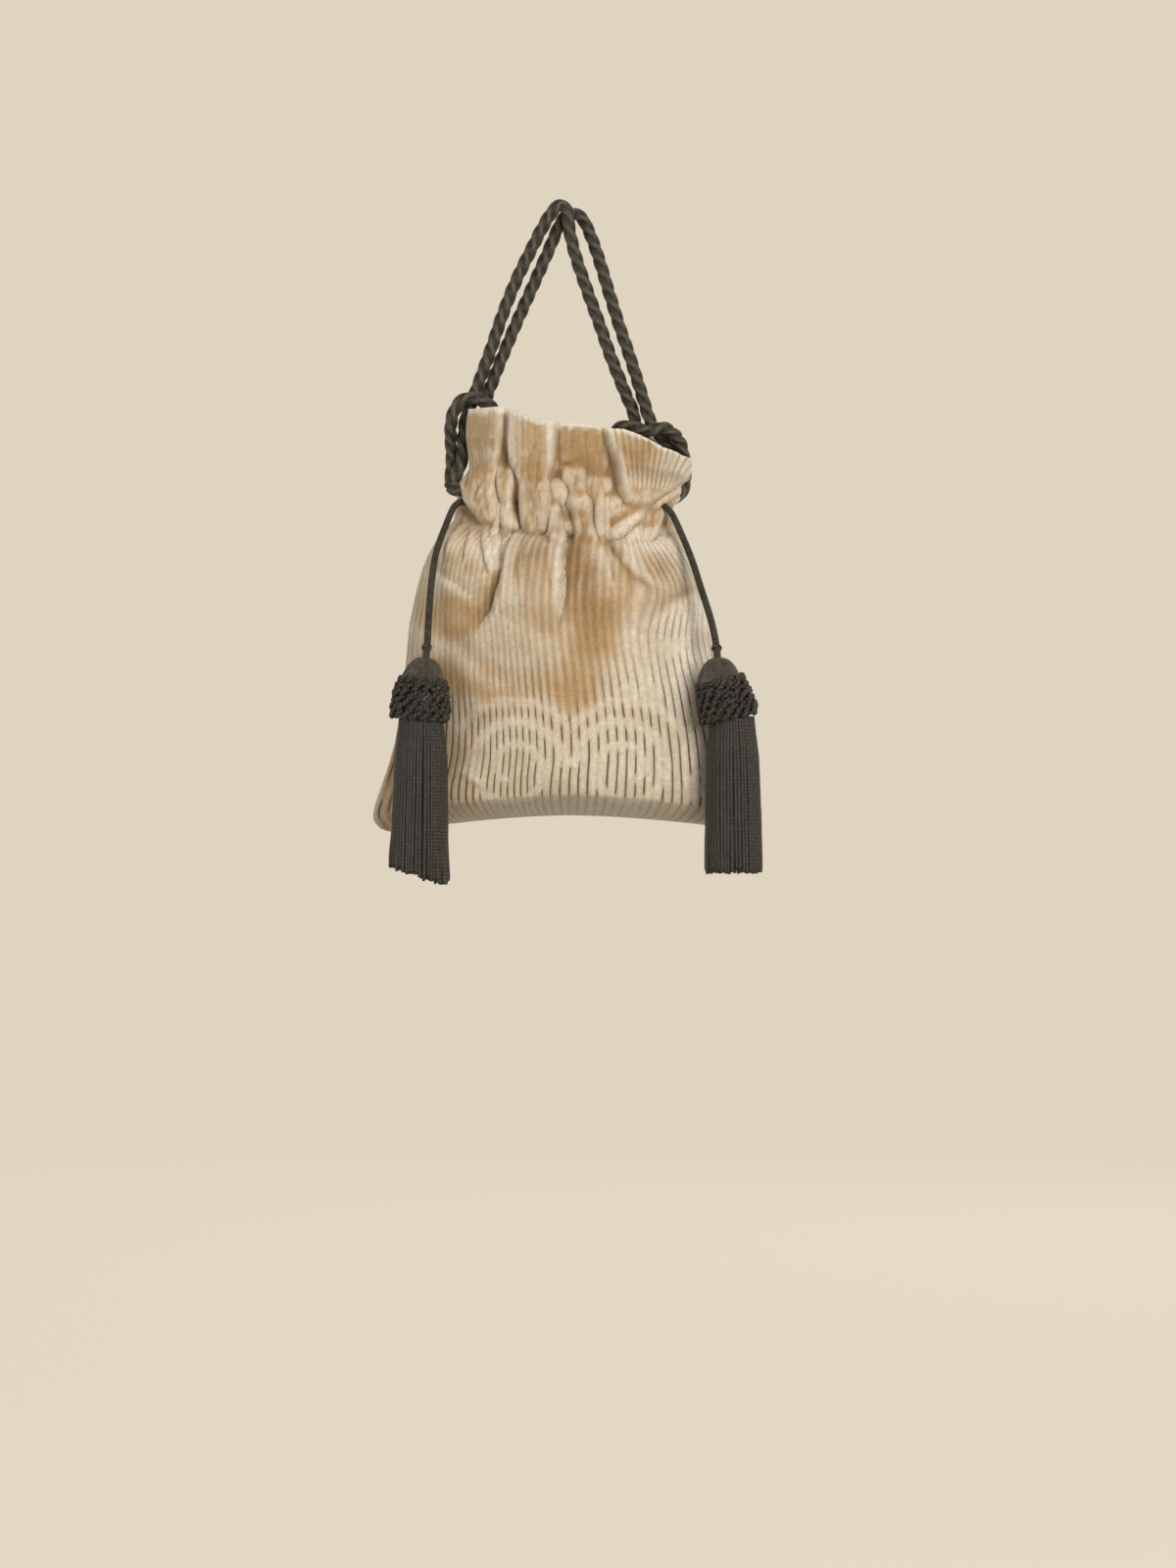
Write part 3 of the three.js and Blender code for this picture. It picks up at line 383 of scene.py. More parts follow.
# Pleats and puffs of the gathered front, each a strip down the cloth: width of
# its rounded sides (pixels), then rows of picture height, left edge, right edge
# and how far it stands out.
STRIPS_FRONT = [
    # left panel of the frill, and the puff under it
    (7, ((405, 452, 513, 2.4), (425, 456, 513, 2.6), (445, 458, 512, 2.9), (456, 461, 510.5, 2.5), (464, 465, 508, 1.8), (470, 470, 505.5, 1.1), (476, 474, 504, 0.7), (482, 476, 503, 0.6), (490, 480, 500, -0.5))),
    (8, ((466, 484, 504, -2.0), (472, 480, 506, 0.0), (477, 473, 506.5, 1.4), (482, 470, 506, 2.4), (489, 469, 505, 3.2), (500, 470, 504, 3.8), (512, 474, 506, 3.8), (522, 481, 506, 3.4), (529, 486, 505, 2.2), (534, 489, 502, -2.4))),
    # narrow strip beside them, with a bulge at its foot
    (4, ((473, 509, 520, -3.0), (478, 507.5, 521.5, 0.8), (495, 507.5, 521, 1.6), (505, 509, 521, 1.2), (514, 511.5, 520, 0.2), (520, 511, 522, 1.2), (528, 511, 528, 3.2), (534, 512.5, 530, 2.8), (541, 517, 528, -2.0))),
    # second pleat, drawn in at the waist, and its puff
    (3.5, ((405, 523.5, 566, 6.0), (428, 522.5, 565.5, 6.2), (445, 521.5, 564.5, 6.4), (458, 521, 564, 6.2), (468, 522, 562.5, 5.4), (477, 524, 560, 4.4), (485, 527, 558, 3.6), (492, 530.5, 556.5, 3.0), (500, 534, 555, 2.0), (508, 537, 553, 0.0))),
    (7, ((482, 538, 553, 0.0), (488, 534, 556.5, 2.6), (493, 532, 558.5, 4.0), (499, 531, 559.5, 5.0), (510, 530.5, 560.5, 5.8), (524, 532, 558.5, 5.9), (532, 533, 556.5, 5.2), (538, 535, 555, 3.2), (543, 538, 553, -2.0))),
    # between the second pleat and the middle
    (5, ((487, 567, 572, -3.0), (491, 563, 578, 0.8), (503, 563, 579, 1.4), (512, 566, 577, -1.0), (516, 568, 574, -3.2))),
    (5, ((510, 562, 567, -2.5), (518, 560.5, 570, 0.8), (528, 560, 573, 2.6), (540, 560.5, 575.5, 2.8), (550, 561, 576, 1.6), (560, 562, 577, 0.2))),
    (4, ((530, 576, 580, -3.0), (535, 574.5, 582.5, 1.2), (540, 574, 583.5, 1.8), (546, 576, 582, -2.0))),
    # middle puffs
    (6, ((470, 583, 590, -2.4), (476, 577.5, 594, 1.0), (483, 574.5, 596, 3.4), (492, 576, 597, 4.2), (498, 580, 597, 3.6), (503, 582.5, 597, 2.2), (509, 584, 597, 1.2), (514, 586, 596, -1.0))),
    (6, ((497, 586, 596, -1.0), (503, 582.5, 598.5, 2.0), (510, 580, 601, 4.0), (517, 581, 602.5, 4.0), (523, 586, 603, 2.6), (534, 586, 605, 3.2), (546, 587, 608, 2.6), (560, 588, 612, 1.4))),
    (5, ((484, 602, 616, -3.0), (488, 598, 622, 0.2), (498, 597.5, 624, 0.8), (508, 599, 612, 0.2), (524, 600, 609, -0.8), (544, 601, 609, -2.6))),
    (2.6, ((499, 610, 614, -2.6), (506, 608.7, 615.5, 2.0), (520, 608.5, 615.8, 2.8), (536, 609, 616, 2.6), (546, 610, 616, 1.2), (552, 611, 615, -2.4))),
    (2.4, ((502, 617, 621, -2.6), (509, 616.3, 622, 1.6), (524, 616.6, 622, 2.0), (540, 617, 621.6, 1.4), (548, 617.5, 621, -2.0))),
    # the right cluster under the flap
    (4, ((506, 625, 632, -2.6), (511, 622.5, 634, 0.8), (517, 621.5, 634, 2.0), (524, 620.5, 631, 2.0), (530, 620, 626, 0.4), (535, 620, 624, -2.6))),
    (5, ((509, 638, 660, -1.6), (514, 635, 662, 0.8), (520, 632, 656, 1.6), (527, 628, 648, 1.0), (534, 624, 640, -1.0))),
    (5, ((516, 660, 678, -1.0), (522, 656, 681, 2.0), (530, 651, 676, 3.2), (539, 646, 672, 3.2), (547, 641, 669, 2.0), (554, 638, 664, -1.0))),
    (5, ((500, 662, 700, 0.6), (508, 665, 694, 2.6), (515, 670, 688, 2.2), (524, 676, 686, 0.6), (532, 678, 684, -1.6))),
    # the right panel, folded out over the casing
    (4.5, ((405, 614, 790, 5.2), (440, 618.5, 790, 5.6), (452, 621, 790, 6.4), (462, 625, 790, 6.9), (471, 629.3, 790, 7.2), (483, 633.2, 790, 7.4), (496, 634.6, 790, 7.4), (504, 635.6, 720, 7.0), (509, 638, 700, 6.4), (513, 643, 684, 5.4), (516.5, 650, 672, 4.0), (519.5, 657, 664, -1.0))),
]
# Rolls that lie across the casing: line of picture points, half width, how far they stand out.
ROLLS_FRONT = [
    (((617, 552), (625, 546), (634, 539), (643, 532), (651, 526), (658, 518)), 5.0, 4.6),
    (((499, 556), (503, 540), (507, 528), (509, 514)), 2.0, 1.0),
]
# Creases: line of picture points, half width, depth.
CREASES_FRONT = [
    (((480, 476), (478.5, 488), (476, 500)), 2.4, 2.2), (((490, 493), (488, 504), (486, 515)), 2.2, 1.6),
    (((496, 484), (497, 500), (499, 526)), 2.4, 0.7), (((505, 446), (503, 460), (501, 475)), 2.6, 1.6),
    (((488, 446), (490, 462), (492, 477)), 2.4, 0.9), (((535.5, 424), (535.5, 445), (535, 464)), 1.9, 1.5),
    (((548, 430), (547.5, 446), (547, 463)), 1.9, 0.9), (((530, 466.5), (538, 467), (546, 466.5)), 1.6, 1.2),
    (((527, 474), (528.5, 484), (530, 496)), 2.4, 2.4), (((540, 469), (539, 480), (541, 494)), 1.9, 1.3),
    (((550, 468), (548, 480), (547, 496)), 1.9, 1.3), (((545, 500), (545.5, 516), (544, 530)), 2.2, 0.6),
    (((548, 528), (548.5, 537)), 1.7, 2.4), (((538, 526), (538, 538)), 1.6, 1.0),
    (((569, 436), (570, 458), (571, 484)), 2.2, 1.8), (((583, 436), (583, 455), (581, 472)), 2.4, 0.9),
    (((597, 438), (598, 456), (600, 482)), 2.4, 1.1), (((609, 442), (611, 460), (614, 484)), 2.4, 1.0),
    (((588, 484), (586, 500)), 2.0, 0.7), (((594, 508), (592, 526), (595, 546)), 2.2, 0.9),
    (((603, 492), (604, 512), (605, 540)), 2.0, 1.2), (((622, 527), (626, 521), (632, 514)), 1.6, 1.8),
    (((662, 516), (672, 507.5), (683, 499), (691, 489), (697, 478)), 2.6, 3.0), (((658, 521), (656, 534), (655, 550)), 2.0, 1.6),
    (((667, 520), (665, 536), (662, 550)), 2.0, 1.0), (((672, 516), (680, 511), (688, 503)), 2.0, 1.4),
]
# Deep hollows between the gathers: picture place, half width, half height, depth.
HOLLOWS_FRONT = [
    (526, 517, 4.0, 13, 5.0), (529, 531, 3.0, 7, 4.0), (516, 468, 5.0, 13, 2.6), (505, 495, 2.2, 16, 3.0), (566, 485, 6.0, 5.0, 2.4),
    (580, 474, 7.0, 4.5, 2.4), (580, 503, 3.0, 5.0, 2.6), (571, 524, 3.0, 8.0, 3.2), (583, 526, 2.6, 8.0, 3.0), (624, 478, 5.0, 16, 2.6),
    (606, 534, 2.2, 12, 2.6), (629, 497, 4.5, 9, 2.0), (523, 545, 4.0, 3.6, 4.0), (553, 547, 4.6, 4.2, 5.0), (505, 538, 3.0, 5.0, 3.4),
    (482, 524, 6.0, 5.0, 2.4), (622, 554, 4.0, 7.0, 5.0), (628, 563, 5.0, 6.0, 6.0), (580, 548, 3.6, 5.0, 3.2),
]
# Tucks across the casing and the frill of the back, in the columns of the folds.
TUCKS_BACK = [
    (((500, 420), (500, 460), (500, 540)), -2.6, 5, 0.2, 5, 2.4, 0.10, 0.10),
    (((521, 440), (521, 480), (520, 540)), 0.2, 5, -2.8, 5, 2.4, 0.10, 0.10),
    (((541, 470), (541, 500), (542, 543)), -2.8, 5, 0.2, 5, 2.4, 0.10, 0.10),
    (((563, 478), (562, 505), (562, 545)), 0.2, 4, -2.6, 5, 2.2, 0.10, 0.10),
    (((585, 476), (585, 505), (586, 546)), -2.8, 5, 0.2, 4, 2.2, 0.10, 0.10),
    (((607, 470), (608, 505), (608, 546)), 0.2, 4, -2.8, 5, 2.2, 0.10, 0.10),
    (((630, 470), (629, 505), (629, 545)), -2.6, 5, 0.2, 5, 2.4, 0.10, 0.10),
    (((651, 460), (652, 500), (652, 542)), 0.2, 5, -2.8, 5, 2.4, 0.10, 0.10),
]
# Puffs gathered along the casing of the back: middle x at its top and bottom, half width,
# top and bottom y (pixels), how far it stands out.
PUFFS_BACK = [
    (472, 470, 9, 478, 528, 2.4), (490, 488, 12, 472, 536, 4.0), (511, 512, 10, 480, 540, 3.0), (530, 529, 12, 474, 544, 4.6),
    (551, 553, 11, 480, 545, 3.4), (573, 572, 13, 474, 547, 5.0), (596, 598, 11, 482, 546, 3.4), (618, 617, 13, 478, 546, 4.6),
    (641, 640, 12, 484, 544, 3.6), (662, 663, 12, 480, 540, 4.4), (683, 683, 9, 486, 532, 2.4),
]
# Pleats of the frill of the back: left x at its top and bottom, right x at its top and
# bottom (pixels), width of its side folds, how far it stands out.
FRILL_BACK = [
    (420, 420, 452, 458, 5, 6.0),
    (478, 482, 510, 506, 5, 3.0), (514, 511, 545, 548, 5, -2.6), (549, 551, 590, 588, 4, 4.4),
    (594, 592, 622, 624, 5, -2.8), (626, 629, 672, 668, 5, 4.0),
]
# Notches where the frill draws in behind the cords: place across the panel,
# half width, depth.
NOTCHES_FRONT = ((-1.0, 0.26, 8.5),)
NOTCHES_BACK = ((-1.0, 0.26, 8.5), (0.80, 0.20, 11.0))
# The front top edge is uneven: place across the panel, rise or dip.
RIM_FRONT = np.array([
    (-1.00, 0.0), (-0.70, 1.5), (-0.46, 3.6), (-0.36, 1.8), (-0.28, 0.0), (-0.20, -3.0), (0.13, -3.5), (0.22, -5.0),
    (0.30, -4.0), (0.42, -5.3), (0.58, -7.5), (0.80, -5.5), (1.00, 0.0)])
# The right seam, row by row: how far it stands out.
SEAM_RIGHT = np.array([(10.5, 0.0), (11.0, -0.6), (12.0, -2.0), (12.6, 0.4), (13.0, 2.8), (14.0, 4.4), (15.0, 5.8), (16.0, 6.3)])
RECESS, FRILL_RECESS = -2.8, -1.5  # cloth between the puffs, and between the pleats
STITCH_DEEP = 2.0                  # how far a stitch line draws the cloth in

cloth_noise = Noise(11)


def level(r):
    r = np.asarray(r, float)
    i = np.clip(np.floor(r).astype(int), 0, len(SECTIONS) - 2)
    t = (r - i)[..., None]
    a, b = SECTIONS[np.clip(i - 1, 0, None)], SECTIONS[i]
    c, d = SECTIONS[i + 1], SECTIONS[np.clip(i + 2, None, len(SECTIONS) - 1)]
    m0, m1 = (c - a) / 2, (d - b) / 2
    return b * (2 * t ** 3 - 3 * t * t + 1) + m0 * (t ** 3 - 2 * t * t + t) + c * (3 * t * t - 2 * t ** 3) + m1 * (t ** 3 - t * t)


def ground(r, w, front, inset=0.0, ends=0.0):
    """Smooth form of the pouch: points and outward directions for rows r and places w."""
    s = level(r)[:, None, :]
    w = w[None, :]
    k, q = s[..., 7], w * np.pi / 2
    half = (s[..., 4] - s[..., 3]) / 2 - ends
    deep = np.maximum(0, (s[..., 5] if front else s[..., 6]) - inset)
    x = (s[..., 3] + s[..., 4]) / 2 + half * ((1 - k) * w + k * np.sin(q))
    y = (-1 if front else 1) * deep * ((1 - k) * (1 - w * w) + k * np.cos(q))
    z = s[..., 1] + (np.where(w < 0, s[..., 0], s[..., 2]) - s[..., 1]) * np.abs(w) ** 1.7
    dx = half * ((1 - k) + k * np.cos(q) * np.pi / 2)
    dy = (-1 if front else 1) * deep * ((1 - k) * (-2 * w) - k * np.sin(q) * np.pi / 2)
    size = np.maximum(1e-9, np.hypot(dx, dy))
    nx, ny = (1 if front else -1) * dy / size, (-1 if front else 1) * dx / size
    if front:
        z = z + np.interp(w, RIM_FRONT[:, 0], RIM_FRONT[:, 1]) * ease((np.asarray(r)[:, None] - UPPER) / 3)
    edge = np.abs(w) > 0.9995
    nx, ny = np.where(edge, np.sign(w), nx), np.where(edge, 0, ny)
    return np.stack([x, y, z], -1), nx, ny


def picture(points, front):
    """Picture place of points seen squarely from the front, or from the back."""
    near = CAMERA_FAR / (CAMERA_FAR + (points[..., 1] if front else -points[..., 1]))
    x = (points[..., 0] - CAMERA_X) * (1 if front else -1)
    middle = 600 if front else 600 - 52
    return middle + x / PIXEL * near, 800 - (points[..., 2] - CAMERA_Z) / PIXEL * near


def line_place(px, py, line):
    """Signed distance to a line of points (right side positive) and share along it."""
    line = np.asarray(line, float)
    best = np.full(px.shape, 1e9)
    side = np.zeros(px.shape)
    share = np.zeros(px.shape)
    lengths = np.linalg.norm(np.diff(line, axis=0), axis=1)
    start = 0.0
    for (ax, ay), (bx, by), size in zip(line[:-1], line[1:], lengths):
        ux, uy = (bx - ax) / size, (by - ay) / size
        t = np.clip((px - ax) * ux + (py - ay) * uy, 0, size)
        ox, oy = px - ax - t * ux, py - ay - t * uy
        d = np.hypot(ox, oy)
        closer = d < best
        best = np.where(closer, d, best)
        side = np.where(closer, -(ux * oy - uy * ox), side)
        share = np.where(closer, (start + t) / lengths.sum(), share)
        start += size
    # past the ends the distance grows, so the fold dies away there
    return np.where(side < 0, -best, best), share


def fold_sum(px, py, rows):
    total = np.zeros(px.shape)
    for line, left, wide_left, right, wide_right, soft, fade_top, fade_end in rows:
        d, share = line_place(px, py, line)
        mix = ease(d / soft + 0.5)
        a = left * np.exp(-(np.abs(np.minimum(d, 0)) / wide_left) ** 1.3)
        b = right * np.exp(-(np.maximum(d, 0) / wide_right) ** 1.3)
        total += (a * (1 - mix) + b * mix) * (0.35 + 0.65 * ease(share / fade_top)) * ease((1 - share) / fade_end)
    return total


def puff_top(px, py, rows):
    """Highest of the casing puffs at each place."""
    best = np.full(px.shape, -STITCH_DEEP)
    for top_x, end_x, half, top, end, out in rows:
        v = (py - top) / (end - top)
        x = top_x + (end_x - top_x) * v
        lift = np.clip(1 - ((px - x) / half) ** 2, 0, 1) ** 0.6 * np.clip(1 - np.abs(2 * v - 1) ** 3.0, 0, 1) ** 0.6
        h = -STITCH_DEEP + (out + STITCH_DEEP) * lift
        # rounded highest
        k = 0.8
        m = np.maximum(best, h)
        best = m + k * np.log1p(np.exp(-np.abs(best - h) / k)) * np.where(lift > 0, 1, 0) * 0.35
    return best


def strips(px, py, recess, rows):
    """Highest of the strips at each place."""
    best = recess.copy()
    for soft, table in rows:
        y, left, right, out = np.array(table, float).T
        inside = (py >= y[0]) & (py <= y[-1])
        a, b, h = np.interp(py, y, left), np.interp(py, y, right), np.interp(py, y, np.where(out > 0, 0.68 * out, 0.8 * out))
        s = np.minimum(soft * 0.62, (b - a) / 2)
        ta, tb = np.clip((px - a) / s, 0, 1), np.clip((b - px) / s, 0, 1)
        round_ = np.sqrt(np.clip(1 - (1 - ta) ** 2, 0, 1)) * np.sqrt(np.clip(1 - (1 - tb) ** 2, 0, 1))
        top = np.where(inside & (round_ > 0), recess + (h - recess) * round_, -1e3)
        best = np.maximum(best, top)
    return best


def relaxed(high, times):
    """Heights eased over their neighbours, as thick cloth lies."""
    for _ in range(times):
        wide = np.pad(high, 1, mode="edge")
        high = 0.4 * high + 0.15 * (wide[1:-1, :-2] + wide[1:-1, 2:] + wide[:-2, 1:-1] + wide[2:, 1:-1])
    return high


def gathers(px, py, rr):
    """Height of the gathered casing and frill of the front."""
    frill = ease((rr - 13.0) / 0.5)
    recess = RECESS + (FRILL_RECESS - RECESS) * frill
    high = strips(px, py, recess, STRIPS_FRONT)
    for line, half, out in ROLLS_FRONT:
        d, share = line_place(px, py, line)
        high = np.maximum(high, RECESS + (out - RECESS) * np.sqrt(np.clip(1 - (d / half) ** 2, 0, 1)) * np.clip(np.sin(np.pi * (0.06 + 0.88 * share)), 0, 1) ** 0.35)
    # the pile crumples where it is gathered
    flat = 1 - 0.9 * ease((px - fan_left(py)) / 5) * ease((522 - py) / 8)
    crumple = 1 - 2 * np.abs(cloth_noise(px / 7.0 + 0.07 * py, py / 24, 51.5))
    small = 1 - 2 * np.abs(cloth_noise(px / 3.8 - 0.04 * py, py / 15, 54.5))
    high = relaxed(high, 3) + (0.36 * crumple + 0.24 * small) * (1 - 0.80 * frill) * flat
    for line, half, depth in CREASES_FRONT:
        d, share = line_place(px, py, line)
        high = high - depth * (0.7 - 0.35 * frill) * np.exp(-(d / half) ** 2) * ease(share / 0.15) * ease((1 - share) / 0.2)
    for x, y, wide, tall, depth in HOLLOWS_FRONT:
        high = high - 0.8 * depth * np.exp(-((px - x) / wide) ** 2 - ((py - y) / tall) ** 2)
    return high


def folds(r, w, base, front):
    """How far the cloth stands out from the smooth form."""
    px, py = picture(base, front)
    rr = np.broadcast_to(r[:, None], px.shape)
    ww = np.broadcast_to(w[None, :], px.shape)
    small = 0.9 * cloth_noise(px / 13, py / 13, 21.5)
    gx, gy = px + small, py + 1.1 * cloth_noise(px / 11, py / 15, 24.5)
    warp = 2.5 * cloth_noise(px / 23, py / 23, 1.5 if front else 7.5)
    px, py = px + warp, py + 1.6 * cloth_noise(px / 19, py / 19, 4.5 if front else 9.5)
    body = ease((11.15 - rr) / 0.5) * ease((rr - 2.0) / 2.0)
    sum_ = fold_sum(px, py, FOLDS_FRONT if front else FOLDS_BACK) * body
    # fine gathers that spread from the stitch lines
    low, high = np.abs(rr - 11.0) * np.where(rr < 11, 13, 11), np.abs(rr - 13.0) * np.where(rr > 13, 10, 11)
    along = ww * 61 + 1.3 * cloth_noise(ww * 9, rr * 0.5, 2.5 if front else 8.5)
    ridge = 1 - 2 * np.abs(cloth_noise(along, rr * 0.35, 3.5 if front else 6.5))
    wide = 1 - 2 * np.abs(cloth_noise(along * 0.45 + 5, rr * 0.25, 13.5 if front else 16.5))
    fine = (0.5 - 0.36 * ease((rr - 11.0) / 0.3)) * (1 - 0.9 * ease((px - fan_left(py)) / 5) * ease((522 - py) / 8)) if front else 0.6
    sum_ += (fine * ridge * np.exp(-(np.minimum(low, high) / 7) ** 1.5) + fine * 1.4 * wide * np.exp(-(np.minimum(low, high) / 13) ** 1.5)) * ease((rr - 8) / 1.5)
    # gathers that run on from the casing into the body
    gather = np.where(rr < 11, np.exp(-np.clip((11.0 - rr) / 0.55, 0, None) ** 2), 1)
    if front:
        sum_ += gathers(gx, gy, rr) * gather
    else:
        sum_ += fold_sum(px, py, TUCKS_BACK) * ease((rr - 10.4) / 0.6)
        sum_ += puff_top(px, py, PUFFS_BACK) * gather * ease((13.5 - rr) / 0.7)
        sum_ -= STITCH_DEEP * np.exp(-((rr - 13.0) / 0.22) ** 2) * 0.6
        frill = ease((rr - 12.9) / 0.7) * (0.35 + 0.65 * ease((rr - 13) / 2))
        v = np.clip((rr - 13) / 3, 0, 1)
        for top_l, end_l, top_r, end_r, soft, out in FRILL_BACK:
            left, right = end_l + (top_l - end_l) * v, end_r + (top_r - end_r) * v
            sum_ += out * ease((px - left) / soft + 0.5) * ease((right - px) / soft + 0.5) * frill
    for at, half, depth in (NOTCHES_FRONT if front else NOTCHES_BACK):
        sum_ -= depth * bump((ww - at) / half) * ease((rr - 12.4) / 0.8)
    # the front turns under along a crease
    sum_ += 1.9 * np.exp(-np.abs(rr - 2.0) / 0.45) * (1 - ww ** 2)
    # slack of soft cloth
    x, y, z = base[..., 0], base[..., 1], base[..., 2]
    slack = 0.9 * cloth_noise(x / 26, y / 26, z / 30) + 0.5 * cloth_noise(x / 11 + 9, y / 11, z / 13)
    sum_ += slack * ease((rr - 0.3) / 2.5)
    seam = np.exp(-((1 - np.abs(ww)) / 0.018) ** 2)
    sum_ -= 0.35 * seam * ease((rr - 0.5) / 2)
    # both faces meet at the side seams
    meet = ease((np.abs(ww) - 0.94) / 0.06)
    return sum_ * (1 - meet) + (sum_edge(rr, z) - 0.35 * seam * ease((rr - 0.5) / 2)) * meet


def sum_edge(rr, z):
    left = np.broadcast_to((np.arange(rr.shape[1]) < rr.shape[1] / 2)[None, :], rr.shape)
    side = np.where(left, -NOTCHES_FRONT[0][2] * ease((rr - 12.4) / 0.8), np.interp(rr, SEAM_RIGHT[:, 0], SEAM_RIGHT[:, 1]))
    return side + 0.6 * cloth_noise(3.5, 1.5, z / 21) * ease((rr - 0.3) / 2.5)


def lay_out(front):
    """The outer face as rows of points, left seam to right seam."""
    r = np.concatenate([np.linspace(a, b, n, endpoint=False) for a, b, n in ROW_STEPS] + [[float(RIM)]])
    w = np.linspace(-1, 1, COLUMNS + 1)
    base, nx, ny = ground(r, w, front)
    out = folds(r, w, base, front)
    # rounded crests and tight valleys: the flanks lean over
    arc = np.maximum(0.02, np.hypot(*np.gradient(base[..., :2], axis=1).transpose(2, 0, 1)))
    slope = np.gradient(out, axis=1) / arc
    lean = -0.6 * np.clip(slope, -1.8, 1.8) * ease((r - 2)[:, None] / 2) * (1 - ease((np.abs(w)[None, :] - 0.9) / 0.08))
    tall = np.maximum(0.05, np.linalg.norm(np.gradient(base, axis=0), axis=-1))
    drop = np.clip(np.gradient(out, axis=0) / tall, -1.5, 1.5)
    drop = -0.4 * drop * ease((r - 3)[:, None] / 2) * ease((15.6 - r)[:, None] / 1.0)
    tx, ty = (-ny, nx) if front else (ny, -nx)
    points = base.copy()
    points[..., 0] += nx * out + tx * lean
    points[..., 1] += ny * out + ty * lean
    points[..., 2] += drop
    return r, w, base, points


def normals(points):
    """Outward directions of a closed band of rows."""
    du = np.roll(points, -1, 1) - np.roll(points, 1, 1)
    dv = np.gradient(points, axis=0)
    n = np.cross(du, dv)
    return n / np.maximum(1e-9, np.linalg.norm(n, axis=-1, keepdims=True))


# Where the nap lies over and the cloth looks tan: middle x, y, half width, half
# height (pixels), turn in degrees, strength.
NAP_FRONT = [
    (490, 446, 20, 26, 0, 0.85), (592, 454, 28, 32, 0, 1.00), (646, 462, 24, 18, 25, 1.00), (546, 452, 16, 22, 0, 0.90), (544, 482, 12, 14, 0, 0.70),
    (546, 514, 12, 18, 0, 0.60), (490, 506, 14, 20, 0, 0.45), (590, 500, 20, 30, 0, 0.95), (612, 500, 14, 14, 0, 0.55), (642, 521, 12, 8, -20, 0.60),
    (544, 572, 26, 28, 0, 1.00), (553, 622, 24, 48, 0, 0.50), (598, 580, 24, 50, -6, 1.00), (606, 636, 30, 52, 6, 1.00),
    (592, 694, 22, 40, 6, 0.90), (626, 606, 20, 34, 25, 0.70), (470, 560, 30, 26, 20, 0.80), (466, 626, 30, 24, 10, 1.00),
    (502, 604, 14, 28, -10, 0.85), (464, 690, 28, 26, 20, 0.90), (500, 702, 32, 15, 20, 0.95), (664, 572, 30, 18, 35, 0.70),
    (688, 606, 38, 14, -14, 0.70), (706, 648, 12, 30, 0, 0.30), (470, 782, 18, 40, 0, 0.45), (562, 700, 26, 22, 0, 0.60),
    (430, 720, 14, 90, 5, 0.55), (400, 790, 14, 60, 10, 0.75), (745, 720, 16, 80, -8, 0.40), (450, 800, 14, 22, 0, 0.45),
    (512, 468, 7, 22, 0, 0.90), (526, 520, 6, 16, 0, 0.80),
]
NAP_BACK = [
    (500, 450, 24, 26, 0, 0.80), (570, 460, 30, 30, 0, 0.70), (648, 450, 26, 26, 0, 0.80), (560, 590, 36, 60, 0, 0.90),
    (480, 610, 34, 50, 15, 0.70), (640, 620, 40, 60, -12, 0.80), (590, 700, 50, 40, 0, 0.50), (440, 720, 40, 60, 0, 0.45),
    (700, 730, 40, 60, 0, 0.50),
]
# Painted highlight: where the cloth is lightened, on fold edges and on the right side that faces the light, in the same
# columns.
PAINTED_HIGHLIGHT_FRONT = [
    (706, 676, 26, 66, -4, 1.00), (712, 632, 12, 40, -8, 0.90), (714, 780, 20, 50, 0, 0.70), (660, 690, 34, 30, 0, 0.40), (570, 580, 3.5, 34, 0, 0.60), (672, 556, 30, 10, 22, 0.80),
    (700, 474, 14, 22, 0, 0.70), (524, 455, 3, 36, 0, 0.40), (561, 450, 4, 34, 0, 0.70), (640, 780, 60, 40, 0, 0.30), (462, 594, 24, 4, 30, 0.40),
    (500, 570, 12, 16, 0, 0.50), (640, 536, 24, 6, -38, 0.60), (502, 466, 4, 10, 0, 0.50), (520, 532, 6, 7, 0, 0.60), (640, 640, 16, 30, 0, 0.25),
]
# Painted shade: where the cloth is darkened to brown, in creases, hollows, under bulges and on the side away from the
# light, in the same columns.
PAINTED_SHADE_FRONT = [
    (586, 560, 15, 26, -6, 1.00), (596, 600, 20, 50, -5, 0.85), (604, 660, 18, 36, 0, 0.30), (506, 600, 7, 26, 14, 0.90), (492, 624, 9, 16, 20, 0.60), (516, 464, 5, 20, 0, 0.80),
    (569, 468, 7, 20, 0, 0.70), (624, 472, 6, 26, -14, 0.80), (596, 470, 26, 8, 0, 0.45), (626, 560, 7, 13, -35, 1.00), (621, 551, 4, 6, -20, 1.00), (545, 558, 18, 12, 0, 0.75), (545, 508, 13, 20, 0, 0.40),
    (545, 566, 20, 14, 0, 0.90), (544, 590, 18, 26, 0, 0.35), (480, 530, 12, 6, 25, 0.50), (604, 520, 5, 22, 0, 0.55), (692, 606, 30, 9, -16, 0.12), (500, 440, 12, 14, 0, 0.35),
    (590, 450, 18, 14, 0, 0.35), (650, 464, 18, 12, 25, 0.50), (526, 518, 5, 14, 0, 0.80), (529, 531, 3, 7, 0, 0.80), (553, 546, 5, 4, 0, 0.90), (571, 526, 3, 8, 0, 0.70), (583, 528, 3, 8, 0, 0.70),
    (505.5, 497, 2.5, 14, 0, 0.55), (580, 503, 3, 5, 0, 0.60), (566, 486, 6, 4, 0, 0.55), (580, 474, 8, 4, 0, 0.45), (523, 545, 4, 4, 0, 0.80), (589, 492, 8, 9, 0, 0.35), (600, 494, 12, 8, 0, 0.35), (676, 566, 18, 10, 35, 0.35), (488, 704, 24, 10, 0, 0.15),
]
